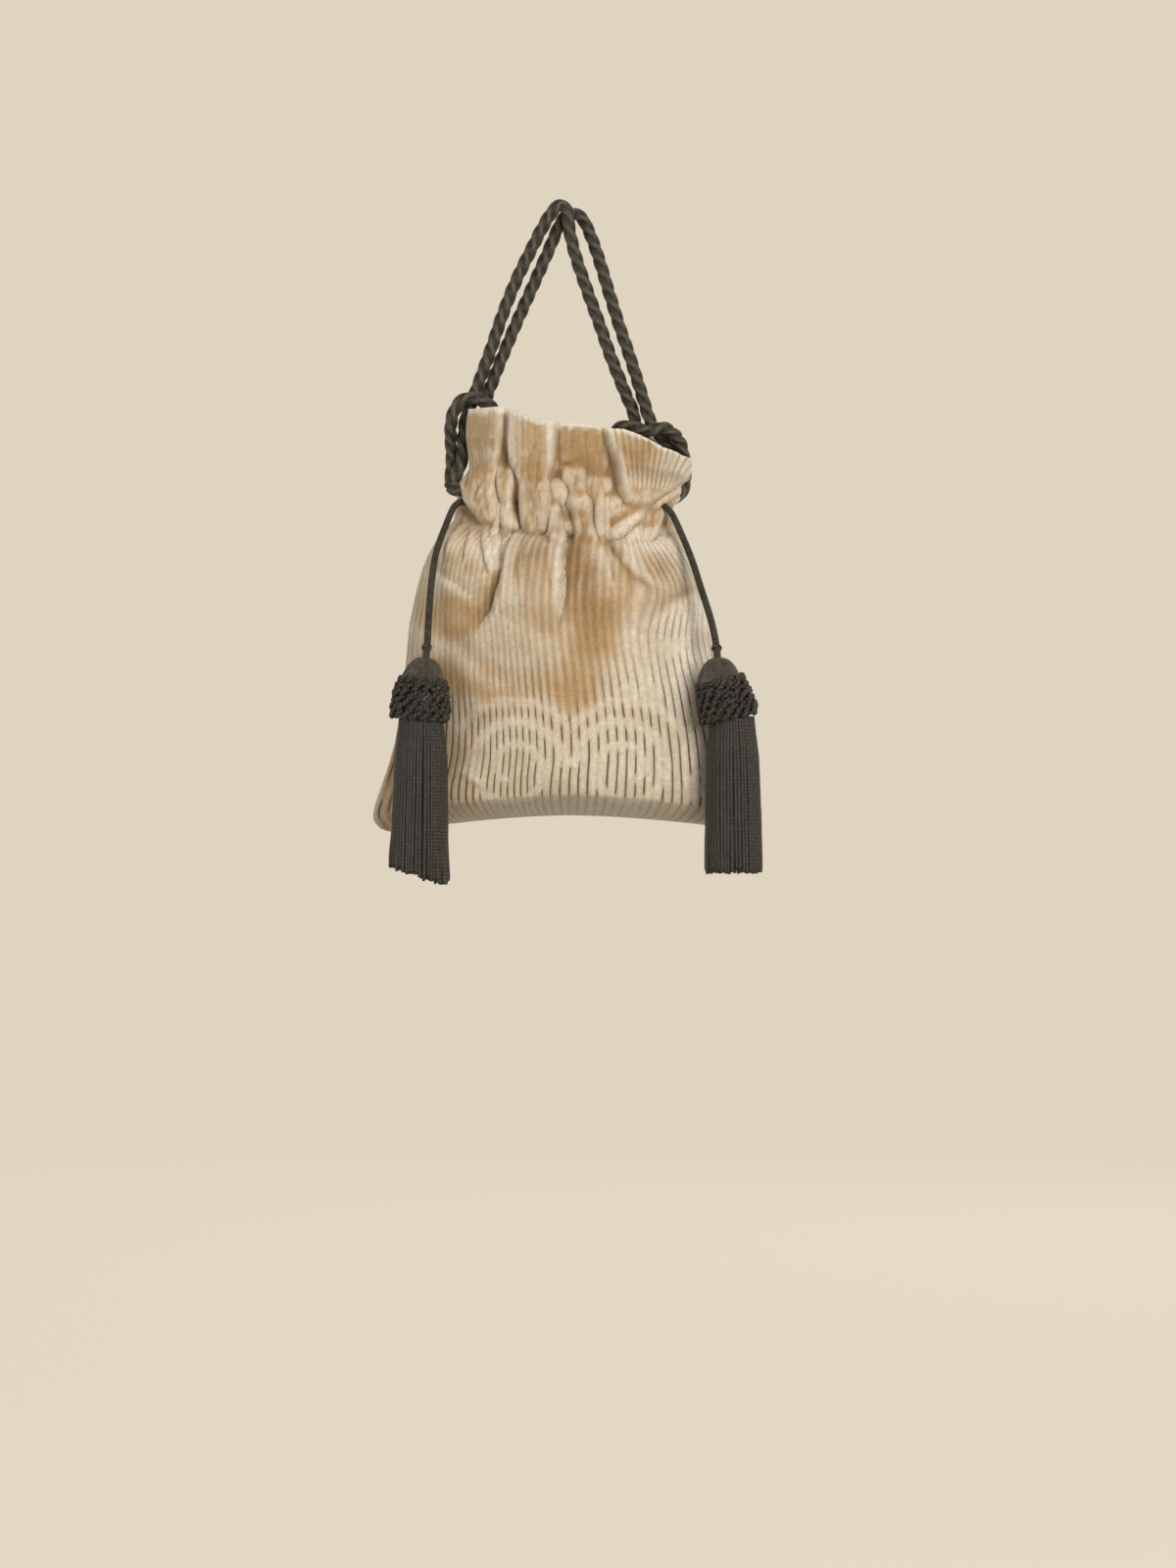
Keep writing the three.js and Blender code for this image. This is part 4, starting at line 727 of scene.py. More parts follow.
# The scroll pattern of the lower body: two spirals side by side under arches.
SCROLL_X, SCROLL_Y, SCROLL_SIDE = 581.0, 784.0, 57.0
ARCH_R, ARCH_HALF = 69.0, 4.4                  # plain arch over each spiral, pixels
SPIRAL_R, SPIRAL_RISE, SPIRAL_TURNS, SPIRAL_HALF = 53.0, 23.0, 1.72, 5.4


def scroll(px, py):
    """1 on the smooth bands of the pattern, and 1 over the whole of it."""
    px, py = px + 2.2 * cloth_noise(px / 7, py / 7, 71.5), py + 2.2 * cloth_noise(px / 7, py / 7, 74.5)
    side = np.where(px < SCROLL_X, -1.0, 1.0)
    x = SCROLL_SIDE - (px - SCROLL_X) * side       # grows towards the middle line
    y = SCROLL_Y - py
    far = np.hypot(x, y)
    turn = np.arctan2(y, x)
    mask = ease((ARCH_HALF - np.abs(far - ARCH_R)) / 4 + 0.5) * ease((turn - 0.55) / 0.25) * ease((2.75 - turn) / 0.3)
    for k in range(2):
        a = (turn % TAU + TAU * k) / TAU
        half = SPIRAL_HALF - 1.4 * a / SPIRAL_TURNS
        mask = np.maximum(mask, ease((half - np.abs(far - SPIRAL_R + SPIRAL_RISE * a)) / 4 + 0.5) * ease((SPIRAL_TURNS - a) / 0.05))
    area = ease((66 - far) / 4) * np.where(py > 700, 1, 0)
    return mask, area


def cloth_values(r, w, base, front):
    px, py = picture(base, front)
    rr = np.broadcast_to(r[:, None], px.shape)
    warp_x, warp_y = 7 * cloth_noise(px / 21, py / 25, 12.5), 9 * cloth_noise(px / 17, py / 29, 15.5)
    nap = np.zeros(px.shape)
    for x, y, wide, high, turn, strength in (NAP_FRONT if front else NAP_BACK):
        c, s = math.cos(math.radians(turn)), math.sin(math.radians(turn))
        ox, oy = px + warp_x - x, py + warp_y - y
        u, v = (ox * c + oy * s) / wide, (-ox * s + oy * c) / high
        nap = 1 - (1 - nap) * (1 - strength * np.exp(-(u * u + v * v) ** 1.4 * 0.9))
    rows_down = ease((py - 648 + 10 * cloth_noise(px / 9, py / 60, 41.5)) / 80)
    right = ease((px - 632) / 60) * ease((py - 600) / 50)
    cut = np.maximum(rows_down, 0.62 * right)
    cut = np.where(rr < 11, cut, 0.05)
    if front:
        fan = ease((px - fan_left(py)) / 6) * ease((rr - 12.4) / 0.3)
        band = ease((px - 523) / 4) * ease((564 - px) / 4) * ease((rr - 13.2) / 0.4)
        bulge = np.exp(-((px - 680) / 24) ** 2 - ((py - 575) / 18) ** 2)
        cut = np.maximum(cut, np.maximum(np.maximum(0.50 * fan, 0.20 * band), 0.70 * bulge))
    cut = cut * (1 - 0.75 * nap * (1 - ease((py - 715) / 25)))
    smooth, motif = (v * np.where((rr < 6) & (rr > 1.6), 1, 0) for v in scroll(px, py))
    # painted highlight: lightened patches on fold edges and on the side facing the light
    painted_highlight = np.zeros(px.shape)
    for x, y, wide, high, turn, strength in (PAINTED_HIGHLIGHT_FRONT if front else ()):
        c, s = math.cos(math.radians(turn)), math.sin(math.radians(turn))
        ox, oy = px + 0.4 * warp_x - x, py + 0.4 * warp_y - y
        u, v = (ox * c + oy * s) / wide, (-ox * s + oy * c) / high
        painted_highlight = np.maximum(painted_highlight, strength * np.exp(-(u * u + v * v)))
    # painted shade: brown patches in creases, hollows and away from the light
    deep = np.zeros(px.shape)
    for x, y, wide, high, turn, strength in (PAINTED_SHADE_FRONT if front else ()):
        c, s = math.cos(math.radians(turn)), math.sin(math.radians(turn))
        ox, oy = px + 0.4 * warp_x - x, py + 0.4 * warp_y - y
        u, v = (ox * c + oy * s) / wide, (-ox * s + oy * c) / high
        deep = np.maximum(deep, strength * np.exp(-(u * u + v * v)))
    cut = np.maximum(cut, 0.95 * motif)
    ribbed = 1 - 0.78 * ease((rr - 10.6) / 0.5)
    casing = ease((rr - 10.9) / 0.3) * ease((13.6 - rr) / 0.5)
    if front:
        ribbed = np.maximum(ribbed, 0.9 * fan)
        casing = casing * (1 - fan)
        nap = np.maximum(nap, casing * np.clip(0.68 + 0.7 * cloth_noise(px / 8, py / 13, 91.5), 0, 1))
    low = ease((2.1 - rr) / 0.2)
    # painted highlight: a light band along the top edge, where the pile stands up
    rim = ease((rr - 15.62 + 0.16 * cloth_noise(px / 6, 0.5, 81.5)) / 0.22)
    nap, deep, painted_highlight = nap * (1 - 0.9 * rim), deep * (1 - rim), np.maximum(painted_highlight, 0.85 * rim)
    return nap, np.clip(cut, 0, 1) * (1 - smooth) * (1 - 0.75 * low), smooth, motif, painted_highlight, deep, low * (1 - np.abs(w)[None, :] ** 6), ribbed


def fan_left(py):
    """Left edge of the panel that folds out over the casing."""
    y, left, _, _ = np.array(STRIPS_FRONT[-1][1], float).T
    return np.interp(py, y, left)


def ribs(w, base, front):
    """Rib number at each place; ribs slant where the cloth is turned."""
    low_row = int(np.argmin(np.abs(faces_f[0] - 4.5)))
    px, py = picture(base, front)
    across = px[low_row]
    fine = np.linspace(360, 800, 2000)
    count = np.concatenate([[0], np.cumsum(np.interp(fine, RIB_COUNT[:, 0], RIB_COUNT[:, 1])[:-1] * np.diff(fine))])
    number = np.interp(across, fine, count)[None, :] + 0 * px
    number = number + 0.10 * cloth_noise(px / 17, py / 34, 31.5)
    if front:
        rr = np.broadcast_to(faces_f[0][:, None], px.shape)
        fan = ease((px - fan_left(py)) / 3) * ease((rr - 12.4) / 0.2)
        spread = 20 * np.arctan2(px - 650, np.clip(575 - py, 30, None))
        edge = (np.abs(px - fan_left(py)) < 3) & (rr > 12.8)
        spread = spread + (np.median((number - spread)[edge]) if edge.any() else 0.0)
        number = number + fan * (spread + 0.16 * cloth_noise(px / 9, py / 22, 33.5) - number)
        bulge = ease((px - 632) / 40) * np.exp(-np.clip((py - 572) / 46, 0, None) ** 2) * ease((11.2 - rr) / 0.3)
        number = number - bulge * 0.105 * (py - 572)
    return number


faces_f = lay_out(True)
faces_b = lay_out(False)
r_rows = faces_f[0]
front_points, back_points = faces_f[3], faces_b[3][:, ::-1]
span = COLUMNS
ring = np.concatenate([front_points, back_points[:, 1:-1]], 1)
# the bottom seam is one line, shared by the front and the back
ring[0, span + 1:] = ring[0, 1:span][::-1]
values_f, values_b = cloth_values(r_rows, faces_f[1], faces_f[2], True), cloth_values(r_rows, faces_b[1], faces_b[2], False)
nap, cut, smooth, motif, painted_highlight, deep, under, ribbed = (np.concatenate([a, b[:, ::-1][:, 1:-1]], 1) for a, b in zip(values_f, values_b))
around = ring.shape[1]
rib_f, rib_b = ribs(faces_f[1], faces_f[2], True), ribs(faces_b[1], faces_b[2], False)
rib = np.concatenate([rib_f, 200 + rib_b[:, ::-1][:, 1:-1]], 1)
# the slits are rows of dashes of uneven length
drop_down = -ring[..., 2]
dash = cloth_noise(np.floor(rib + 0.5) * 0.731 + 0.5, drop_down * 0.085, 61.5) + 0.5 * cloth_noise(np.floor(rib + 0.5) * 1.37 + 0.5, drop_down * 0.21, 64.5)
cut = cut * np.maximum(ease((dash + 0.32) / 0.22), 0.9 * motif)
cut[:, [0, span]] = 0
cut[:, -1] = 0
cut[:, [1, span - 1, span + 1]] = 0
fall = np.broadcast_to((-ring[:, :span + 1, 2].mean(1))[:, None], ring.shape[:2])
direction = normals(ring)


def softened(points, times):
    for _ in range(times):
        rows = np.concatenate([points[:1], points, points[-1:]])
        points = 0.4 * points + 0.15 * (np.roll(points, 1, 1) + np.roll(points, -1, 1) + rows[:-2] + rows[2:])
    return points


# crests and hollows of the cloth, at a small and a larger size, for painted highlight on crests and painted shade in
# hollows
gathered = ease((r_rows - 10.6) / 0.4)[:, None]
crest = np.sum((ring - softened(ring, 8)) * direction, -1) / 0.30 + (1 - 0.7 * gathered) * np.sum((ring - softened(ring, 70)) * direction, -1) / 1.3
crest = np.clip(crest, -1.6, 1.6) * ease((r_rows - 2.6) / 0.8)[:, None]
crest = np.where(crest < 0, crest * (1 - 0.3 * gathered), crest)
crest[-1] = crest[-2]
f = np.abs(rib % 1.0 - 0.5) * 2            # 1 at a slit, 0 on the crest of a rib
flap = np.zeros(rib.shape)
flap[:, :span + 1] = ease((picture(faces_f[2], True)[0] - fan_left(picture(faces_f[2], True)[1])) / 4) * ease((r_rows - 12.4) / 0.3)[:, None]
soft_rib = ribbed * (0.11 - 0.06 * ease((r_rows - 7) / 3)[:, None]) * (1 + 0.7 * cloth_noise(rib * 0.7, 0.5, ring[..., 2] / 40))
profile = (soft_rib * (1 - f ** 2.0) - 0.30 * cut * ease((f - 0.68) / 0.26)) * (1 - 0.85 * flap) + 0.10 * smooth
pile = 0.13 * cloth_noise(ring[..., 0] / 1.9, ring[..., 1] / 1.9, ring[..., 2] / 2.6)
keep = ease(r_rows / 0.6)[:, None]
ring = ring + direction * ((profile + pile) * keep)[..., None]

inner_r = np.array(INNER_ROWS, float)
inner = []
for front in (True, False):
    w_out = np.linspace(-1, 1, COLUMNS + 1)
    w_in = w_out[::LINING_STEP]
    s_in = level(inner_r)
    ends = (s_in[:, 8] * (1 + 1.2 * (1 - s_in[:, 7])))[:, None]
    base_in, nx, ny = ground(inner_r, w_in, front, inset=s_in[:, 8][:, None], ends=ends)
    smooth_base, _, _ = ground(inner_r, w_out, front)
    out = folds(inner_r, w_out, smooth_base, front)
    # the lining stays behind the lowest cloth near it
    wide = np.pad(out, ((0, 0), (8, 8)), mode="edge")
    out = np.min([wide[:, k:k + COLUMNS + 1] for k in range(0, 17, 2)], 0)[:, ::LINING_STEP] * s_in[:, 9][:, None]
    base_in[..., 0] += nx * out
    base_in[..., 1] += ny * out
    base_in[..., 2] += s_in[:, 10][:, None]
    inner.append(base_in)
lining = COLUMNS // LINING_STEP
inside = np.concatenate([inner[0], inner[1][:, ::-1][:, 1:-1]], 1)
inside[0, lining + 1:] = inside[0, 1:lining][::-1]

n_out, n_in = len(r_rows), len(inner_r)
in_around = inside.shape[1]
quads_out = grid_quads(n_out, around)
quads_in = grid_quads(n_in, in_around)[:, ::-1] + n_out * around
# the top edge: the outer steps meet the wider inner steps
top_o, top_i = (n_out - 1) * around, n_out * around + (n_in - 1) * in_around
rim_tris = []
for k in range(in_around):
    a, b = top_i + k, top_i + (k + 1) % in_around
    half = LINING_STEP // 2
    for j in range(LINING_STEP):
        o, p = top_o + (k * LINING_STEP + j) % around, top_o + (k * LINING_STEP + j + 1) % around
        rim_tris.append((o, p, a if j < half else b))
    rim_tris.append((top_o + (k * LINING_STEP + half) % around, b, a))


def merge_seam(first, count, width):
    """Point numbers with the back half of a bottom row joined to its front half."""
    j = np.arange(count + 1, width)
    return first + j, first + (2 * count - j)


number = np.arange(n_out * around + n_in * in_around)
for first, count, width in ((0, span, around), (n_out * around, lining, in_around)):
    old, new = merge_seam(first, count, width)
    number[old] = new
all_points = np.concatenate([ring.reshape(-1, 3), inside.reshape(-1, 3)])
used = np.unique(number)
back_number = np.zeros(len(number), int)
back_number[used] = np.arange(len(used))
number = back_number[number]
extra = len(inside.reshape(-1, 3))
pouch = make_mesh("pouch_cloth", all_points[used],
                  [number[np.concatenate([quads_out, quads_in])], number[np.array(rim_tris)]],
                  {"rib": np.concatenate([rib.reshape(-1), np.tile(np.arange(in_around) * 0.3, n_in)])[used],
                   "fall": np.concatenate([fall.reshape(-1), -inside[..., 2].reshape(-1)])[used],
                   "nap": np.concatenate([nap.reshape(-1), np.full(extra, 0.4)])[used],
                   "cut": np.concatenate([cut.reshape(-1), np.zeros(extra)])[used],
                   "under": np.concatenate([under.reshape(-1), np.zeros(extra)])[used],
                   "ribbed": np.concatenate([ribbed.reshape(-1), np.ones(extra)])[used],
                   # painted shade in the deep attribute; the lining inside takes a fixed share of it
                   "deep": np.concatenate([deep.reshape(-1), np.full(extra, 0.4)])[used],
                   "painted_highlight": np.concatenate([painted_highlight.reshape(-1), np.zeros(extra)])[used],
                   "crest": np.concatenate([crest.reshape(-1), np.zeros(extra)])[used],
                   "band": np.concatenate([smooth.reshape(-1), np.zeros(extra)])[used]})

# ------------------------------------------------------------------ tassels
# Top of the head; lean of the head and tilt of the collar on it in degrees; how far
# the collar and the skirt lie to the side of the head's top; lean of the skirt;
# its length below the collar; how much higher its left side ends.
TASSELS = {"left": (-68.2, -34.8, -228.2, 7.5, 2.8, 0.2, -2.0, 0.7, 80.0, 8.0),
           "right": (77.9, -33.0, -228.2, -4.6, 8.4, 2.1, 6.9, -0.7, 74.7, 0.0)}
HEAD_H = 15.0
# Outline of the head: height, radius.
HEAD_ROWS = np.array([(0.0, 0.5), (-0.5, 3.0), (-1.4, 5.0), (-3.2, 7.1), (-5.2, 8.5), (-7.4, 9.6), (-10.0, 10.7), (-12.6, 11.6), (-15.0, 11.2)])
COLLAR_TOP, COLLAR_H = -11.5, 21.0
SKIRT_TOP, SKIRT_AXIS = -30.0, -15.3
STRANDS = 46


def placed(points, side, part="head"):
    x, y, z, lean, _, collar_aside, skirt_aside, hang = TASSELS[side][:8]
    x += {"head": 0.0, "collar": collar_aside, "skirt": skirt_aside}[part]
    a = math.radians(hang if part == "skirt" else lean)
    p = np.asarray(points, float)
    return np.stack([p[..., 0] * math.cos(a) + p[..., 2] * math.sin(a) + x, p[..., 1] + y,
                     -p[..., 0] * math.sin(a) + p[..., 2] * math.cos(a) + z], -1)


def tilted(points, side):
    a = -math.radians(TASSELS[side][4])
    p = np.asarray(points, float).copy()
    mid = COLLAR_TOP - COLLAR_H / 2
    x, z = p[..., 0].copy(), p[..., 2] - mid
    p[..., 0] = x * math.cos(a) + z * math.sin(a)
    p[..., 2] = -x * math.sin(a) + z * math.cos(a) + mid
    return p


def head(side, seed):
    rows = np.linspace(0, 1, 28)
    threads, per = 44, 6
    q = np.arange(threads * per) / (threads * per) * TAU
    noise = Noise(seed)
    t = rows[:, None]
    z = -HEAD_H * t ** 1.35
    radius = np.interp(-z, -HEAD_ROWS[:, 0], HEAD_ROWS[:, 1])
    f = np.abs((np.arange(threads * per) / per) % 1 - 0.5) * 2
    shape = radius + (0.34 * (1 - f ** 2)[None, :] + 0.34 * noise(np.cos(q) * 6, np.sin(q) * 6, 0.4 + 0.5 * t) - 0.30) * ease(t / 0.25)
    shape = np.maximum(shape, 0.35)
    points = np.stack([shape * np.cos(q), shape * np.sin(q), np.broadcast_to(z, shape.shape)], -1)
    n, m = shape.shape
    parts = Parts()
    tip = np.array([[0, 0, 0.0]])
    end = np.array([[0, 0, -HEAD_H]])
    j = np.arange(m)
    tris = np.concatenate([np.stack([j, (j + 1) % m, np.full(m, n * m)], -1),
                           np.stack([(n - 1) * m + (j + 1) % m, (n - 1) * m + j, np.full(m, n * m + 1)], -1)])
    allp = np.concatenate([points.reshape(-1, 3), tip, end])
    parts.add(placed(allp, side), grid_quads(n, m)[:, ::-1], tris,
              along=np.concatenate([np.repeat(-z[:, 0], m), [0, 0]]),
              across=np.concatenate([np.tile(f * 2 - 1, n), [0, 0]]))
    return parts.build("tassel_dome_" + side)


# Rows of loops round the collar: height, radius, loops.
COLLAR_ROWS = [(-1.2, 11.2, 15), (-4.6, 12.4, 16), (-8.0, 13.1, 17), (-11.4, 13.6, 17), (-14.8, 13.9, 17), (-18.2, 13.7, 17)]
COLLAR_CORE = [(0.4, 7.6), (-3.0, 10.4), (-8.0, 12.2), (-14.0, 12.6), (-18.0, 12.4), (-20.4, 10.0)]


def collar(side, seed):
    """Ruff of plump twisted loops, laid slantwise over each other."""
    pick = np.random.RandomState(seed)
    parts = Parts()
    t = np.linspace(-1, 1, 17)
    for k, (z, radius, count) in enumerate(COLLAR_ROWS):
        for j in range(count):
            q = TAU * (j + 0.5 * (k % 2) + pick.uniform(-0.16, 0.16)) / count
            long, slant = pick.uniform(2.9, 3.5), pick.uniform(0.05, 0.60)
            u = long * t
            v = slant * u + pick.uniform(0.5, 0.9) * np.sin(np.pi * t)
            out = radius + pick.uniform(-0.3, 0.4) + 1.0 * np.cos(np.pi / 2 * t) - 0.6 + 0.25 * t * (1 if (j + k) % 2 else -1)
            angle = q + u / radius
            path = np.stack([out * np.cos(angle), out * np.sin(angle), COLLAR_TOP + z + v + pick.uniform(-0.35, 0.35)], -1)
            path, _ = even(placed(tilted(path, side), side, "collar"), 0.5, False)
            ends = np.linspace(-1, 1, len(path))
            rope(parts, path, False, 2, pick.uniform(1.25, 1.5), 4.4, 5, hand=1 if pick.uniform() < 0.3 else -1, phase=pick.uniform(0, TAU), sizes=1 - 0.45 * np.abs(ends) ** 3)
    q = np.linspace(0, TAU, 48, endpoint=False)
    heights, radii = (np.array(c) for c in zip(*COLLAR_CORE))
    n = len(radii)
    core = np.stack([radii[:, None] * np.cos(q), radii[:, None] * np.sin(q), np.broadcast_to(COLLAR_TOP + heights[:, None], (n, 48))], -1)
    j = np.arange(48)
    tris = np.concatenate([np.stack([j, (j + 1) % 48, np.full(48, n * 48)], -1), np.stack([(n - 1) * 48 + (j + 1) % 48, (n - 1) * 48 + j, np.full(48, n * 48 + 1)], -1)])
    corners = np.concatenate([core.reshape(-1, 3), [[0, 0, COLLAR_TOP + heights[0]]], [[0, 0, COLLAR_TOP + heights[-1]]]])
    parts.add(placed(tilted(corners, side), side, "collar"), grid_quads(n, 48)[:, ::-1], tris, along=0.0, across=1.0)
    return parts.build("tassel_ruff_" + side)


def tube(parts, path, radius, sides, noise, place):
    """Adds one round thread along a line."""
    way, ups, across, _ = frames(path, False)
    n = len(path)
    s = np.concatenate([[0], np.cumsum(np.linalg.norm(np.diff(path, axis=0), axis=1))])
    q = np.arange(sides) / sides * TAU
    size = radius * (1 + 0.10 * noise(s / 5.0, place * 1.9, 5.5)) * (1 - 0.3 * ease((s - s[-1] + 1.2) / 1.2))
    points = path[:, None, :] + size[:, None, None] * (np.cos(q)[:, None] * ups[:, None, :] + np.sin(q)[:, None] * across[:, None, :])
    j = np.arange(sides)
    tris = np.concatenate([np.stack([(j + 1) % sides, j, np.full(sides, n * sides)], -1),
                           np.stack([(n - 1) * sides + j, (n - 1) * sides + (j + 1) % sides, np.full(sides, n * sides + 1)], -1)])
    corners = np.concatenate([points.reshape(-1, 3), path[:1], path[-1:]])
    parts.add(corners, grid_quads(n, sides), tris, along=np.concatenate([np.repeat(s, sides), [0, s[-1]]]),
              across=np.concatenate([np.tile(np.abs(2 * j / sides - 1) * 2 - 1, n), [0, 0]]))


def skirt(side, seed):
    pick = np.random.RandomState(seed)
    noise = Noise(seed)
    parts = Parts()
    long, hem = TASSELS[side][8:]
    bottom = SKIRT_AXIS - long - 18.0
    for layer, (count, inset, thick, steps) in enumerate(((STRANDS, 0.0, 1.08, 64), (38, 1.9, 1.05, 24), (24, 5.0, 1.05, 24))):
        for k in range(count):
            q = TAU * (k + 0.5 * layer + pick.uniform(-0.18, 0.18)) / count
            t = np.linspace(0, 1, steps)
            end = bottom + pick.uniform(-0.9, 1.6) + hem * ((1 - math.cos(q)) / 2) ** 1.5
            z = SKIRT_TOP + (end - SKIRT_TOP) * t
            radius = 10.3 + 2.0 * ease(t / 0.30) + 1.3 * ease((t - 0.2) / 0.8) - inset
            stray = 1.0 if layer == 0 and pick.uniform() < 0.10 else 0.0
            swing = (0.022 + 0.05 * stray * ease((t - 0.6) / 0.4)) * noise(t * 2.2, k * 1.37, layer + 0.5) * ease(t / 0.3)
            radius = radius + 0.9 * stray * ease((t - 0.75) / 0.25)
            radius = radius + 0.30 * noise(t * 2.0, k * 0.83 + 7, layer + 2.5)
            path = np.stack([radius * np.cos(q + swing), radius * np.sin(q + swing), z], -1)
            path = placed(path, side, "skirt")
            tube(parts, path, thick, 7 if layer == 0 else 5, noise, k)
    # the middle that the strands hang round
    q = np.linspace(0, TAU, 40, endpoint=False)
    heights = np.array([-16.8, -20, -34, -60, -90, bottom + hem + 3])
    radii = np.array([7.6, 7.8, 9.0, 10.6, 11.0, 10.8])
    core = np.stack([radii[:, None] * np.cos(q), radii[:, None] * np.sin(q), np.broadcast_to(heights[:, None], (6, 40))], -1)
    j = np.arange(40)
    tris = np.concatenate([np.stack([j, (j + 1) % 40, np.full(40, 240)], -1), np.stack([200 + (j + 1) % 40, 200 + j, np.full(40, 241)], -1)])
    corners = np.concatenate([core.reshape(-1, 3), [[0, 0, heights[0]]], [[0, 0, heights[-1]]]])
    parts.add(placed(corners, side, "skirt"), grid_quads(6, 40)[:, ::-1], tris, along=0.0, across=1.0)
    return parts.build("tassel_strands_" + side)


def knot(side, line, seed):
    z = TASSELS[side][2]
    mid = line[int(np.argmin(np.abs(line[:, 2] - (z + 3.6))))]
    t = np.linspace(0, TAU, 160, endpoint=False)
    path = np.stack([np.sin(t) + 2 * np.sin(2 * t), -np.sin(3 * t) * 1.2, np.cos(t) - 2 * np.cos(2 * t)], -1)
    path = path / np.abs(path).max(0) * np.array([1.75, 1.6, 2.7])
    path, _ = even(path, 0.22, True)
    parts = Parts()
    rope(parts, path + mid, True, 2, 0.98, 3.6, 6, seed=seed)
    # the knot is drawn tight round its own cord
    lift, round_ = np.linspace(-0.96, 0.96, 9), np.linspace(0, TAU, 16, endpoint=False)
    wide = np.sqrt(1 - lift ** 2)[:, None]
    core = np.stack([1.9 * wide * np.cos(round_), 1.7 * wide * np.sin(round_), np.broadcast_to(4.2 * lift[:, None], (9, 16))], -1)
    j = np.arange(16)
    tris = np.concatenate([np.stack([(j + 1) % 16, j, np.full(16, 144)], -1), np.stack([128 + j, 128 + (j + 1) % 16, np.full(16, 145)], -1)])
    parts.add(np.concatenate([core.reshape(-1, 3), [[0, 0, -4.2], [0, 0, 4.2]]]) + mid, grid_quads(9, 16), tris, along=0.0, across=1.0)
    return parts.build("tassel_knot_wraps_" + side)


tassel_pieces = {}
for side, line in (("left", tassel_cords[0][2]), ("right", tassel_cords[1][2])):
    seed = 31 if side == "left" else 47
    tassel_pieces[side] = {"knot": knot(side, line, seed), "head": head(side, seed + 1), "collar": collar(side, seed + 2), "skirt": skirt(side, seed + 3)}


# ---------------------------------------------------------------- materials
def srgb(*c):
    return tuple(((v / 255 + 0.055) / 1.055) ** 2.4 if v > 10 else v / 255 / 12.92 for v in c) + (1.0,)


def new_material(name):
    mat = bpy.data.materials.new(name)
    mat.use_nodes = True
    tree = mat.node_tree
    return mat, tree, tree.nodes["Principled BSDF"]


def node(tree, kind, settings=None, **inputs):
    made = tree.nodes.new(kind)
    for key, value in (settings or {}).items():
        setattr(made, key, value)
    for key, value in inputs.items():
        socket = made.inputs[int(key[1:])] if key[0] == "i" and key[1:].isdigit() else made.inputs[key.replace("_", " ")]
        if isinstance(value, bpy.types.NodeSocket):
            tree.links.new(value, socket)
        else:
            socket.default_value = value
    return made


def attribute(tree, name):
    return node(tree, "ShaderNodeAttribute", {"attribute_name": name}).outputs["Fac"]


def math_node(tree, kind, a, b=0.0, c=0.0, clamp=False):
    return node(tree, "ShaderNodeMath", {"operation": kind, "use_clamp": clamp}, i0=a, i1=b, i2=c).outputs[0]


def mix_colour(tree, share, a, b):
    made = tree.nodes.new("ShaderNodeMix")
    made.data_type = "RGBA"
    for socket, value in ((made.inputs[0], share), (made.inputs[6], a), (made.inputs[7], b)):
        if isinstance(value, bpy.types.NodeSocket):
            tree.links.new(value, socket)
        else:
            socket.default_value = value
    return made.outputs[2]


def smooth_range(tree, value, low, high, out_low=0.0, out_high=1.0):
    return node(tree, "ShaderNodeMapRange", {"interpolation_type": "SMOOTHSTEP"}, Value=value, From_Min=low, From_Max=high, To_Min=out_low, To_Max=out_high).outputs[0]


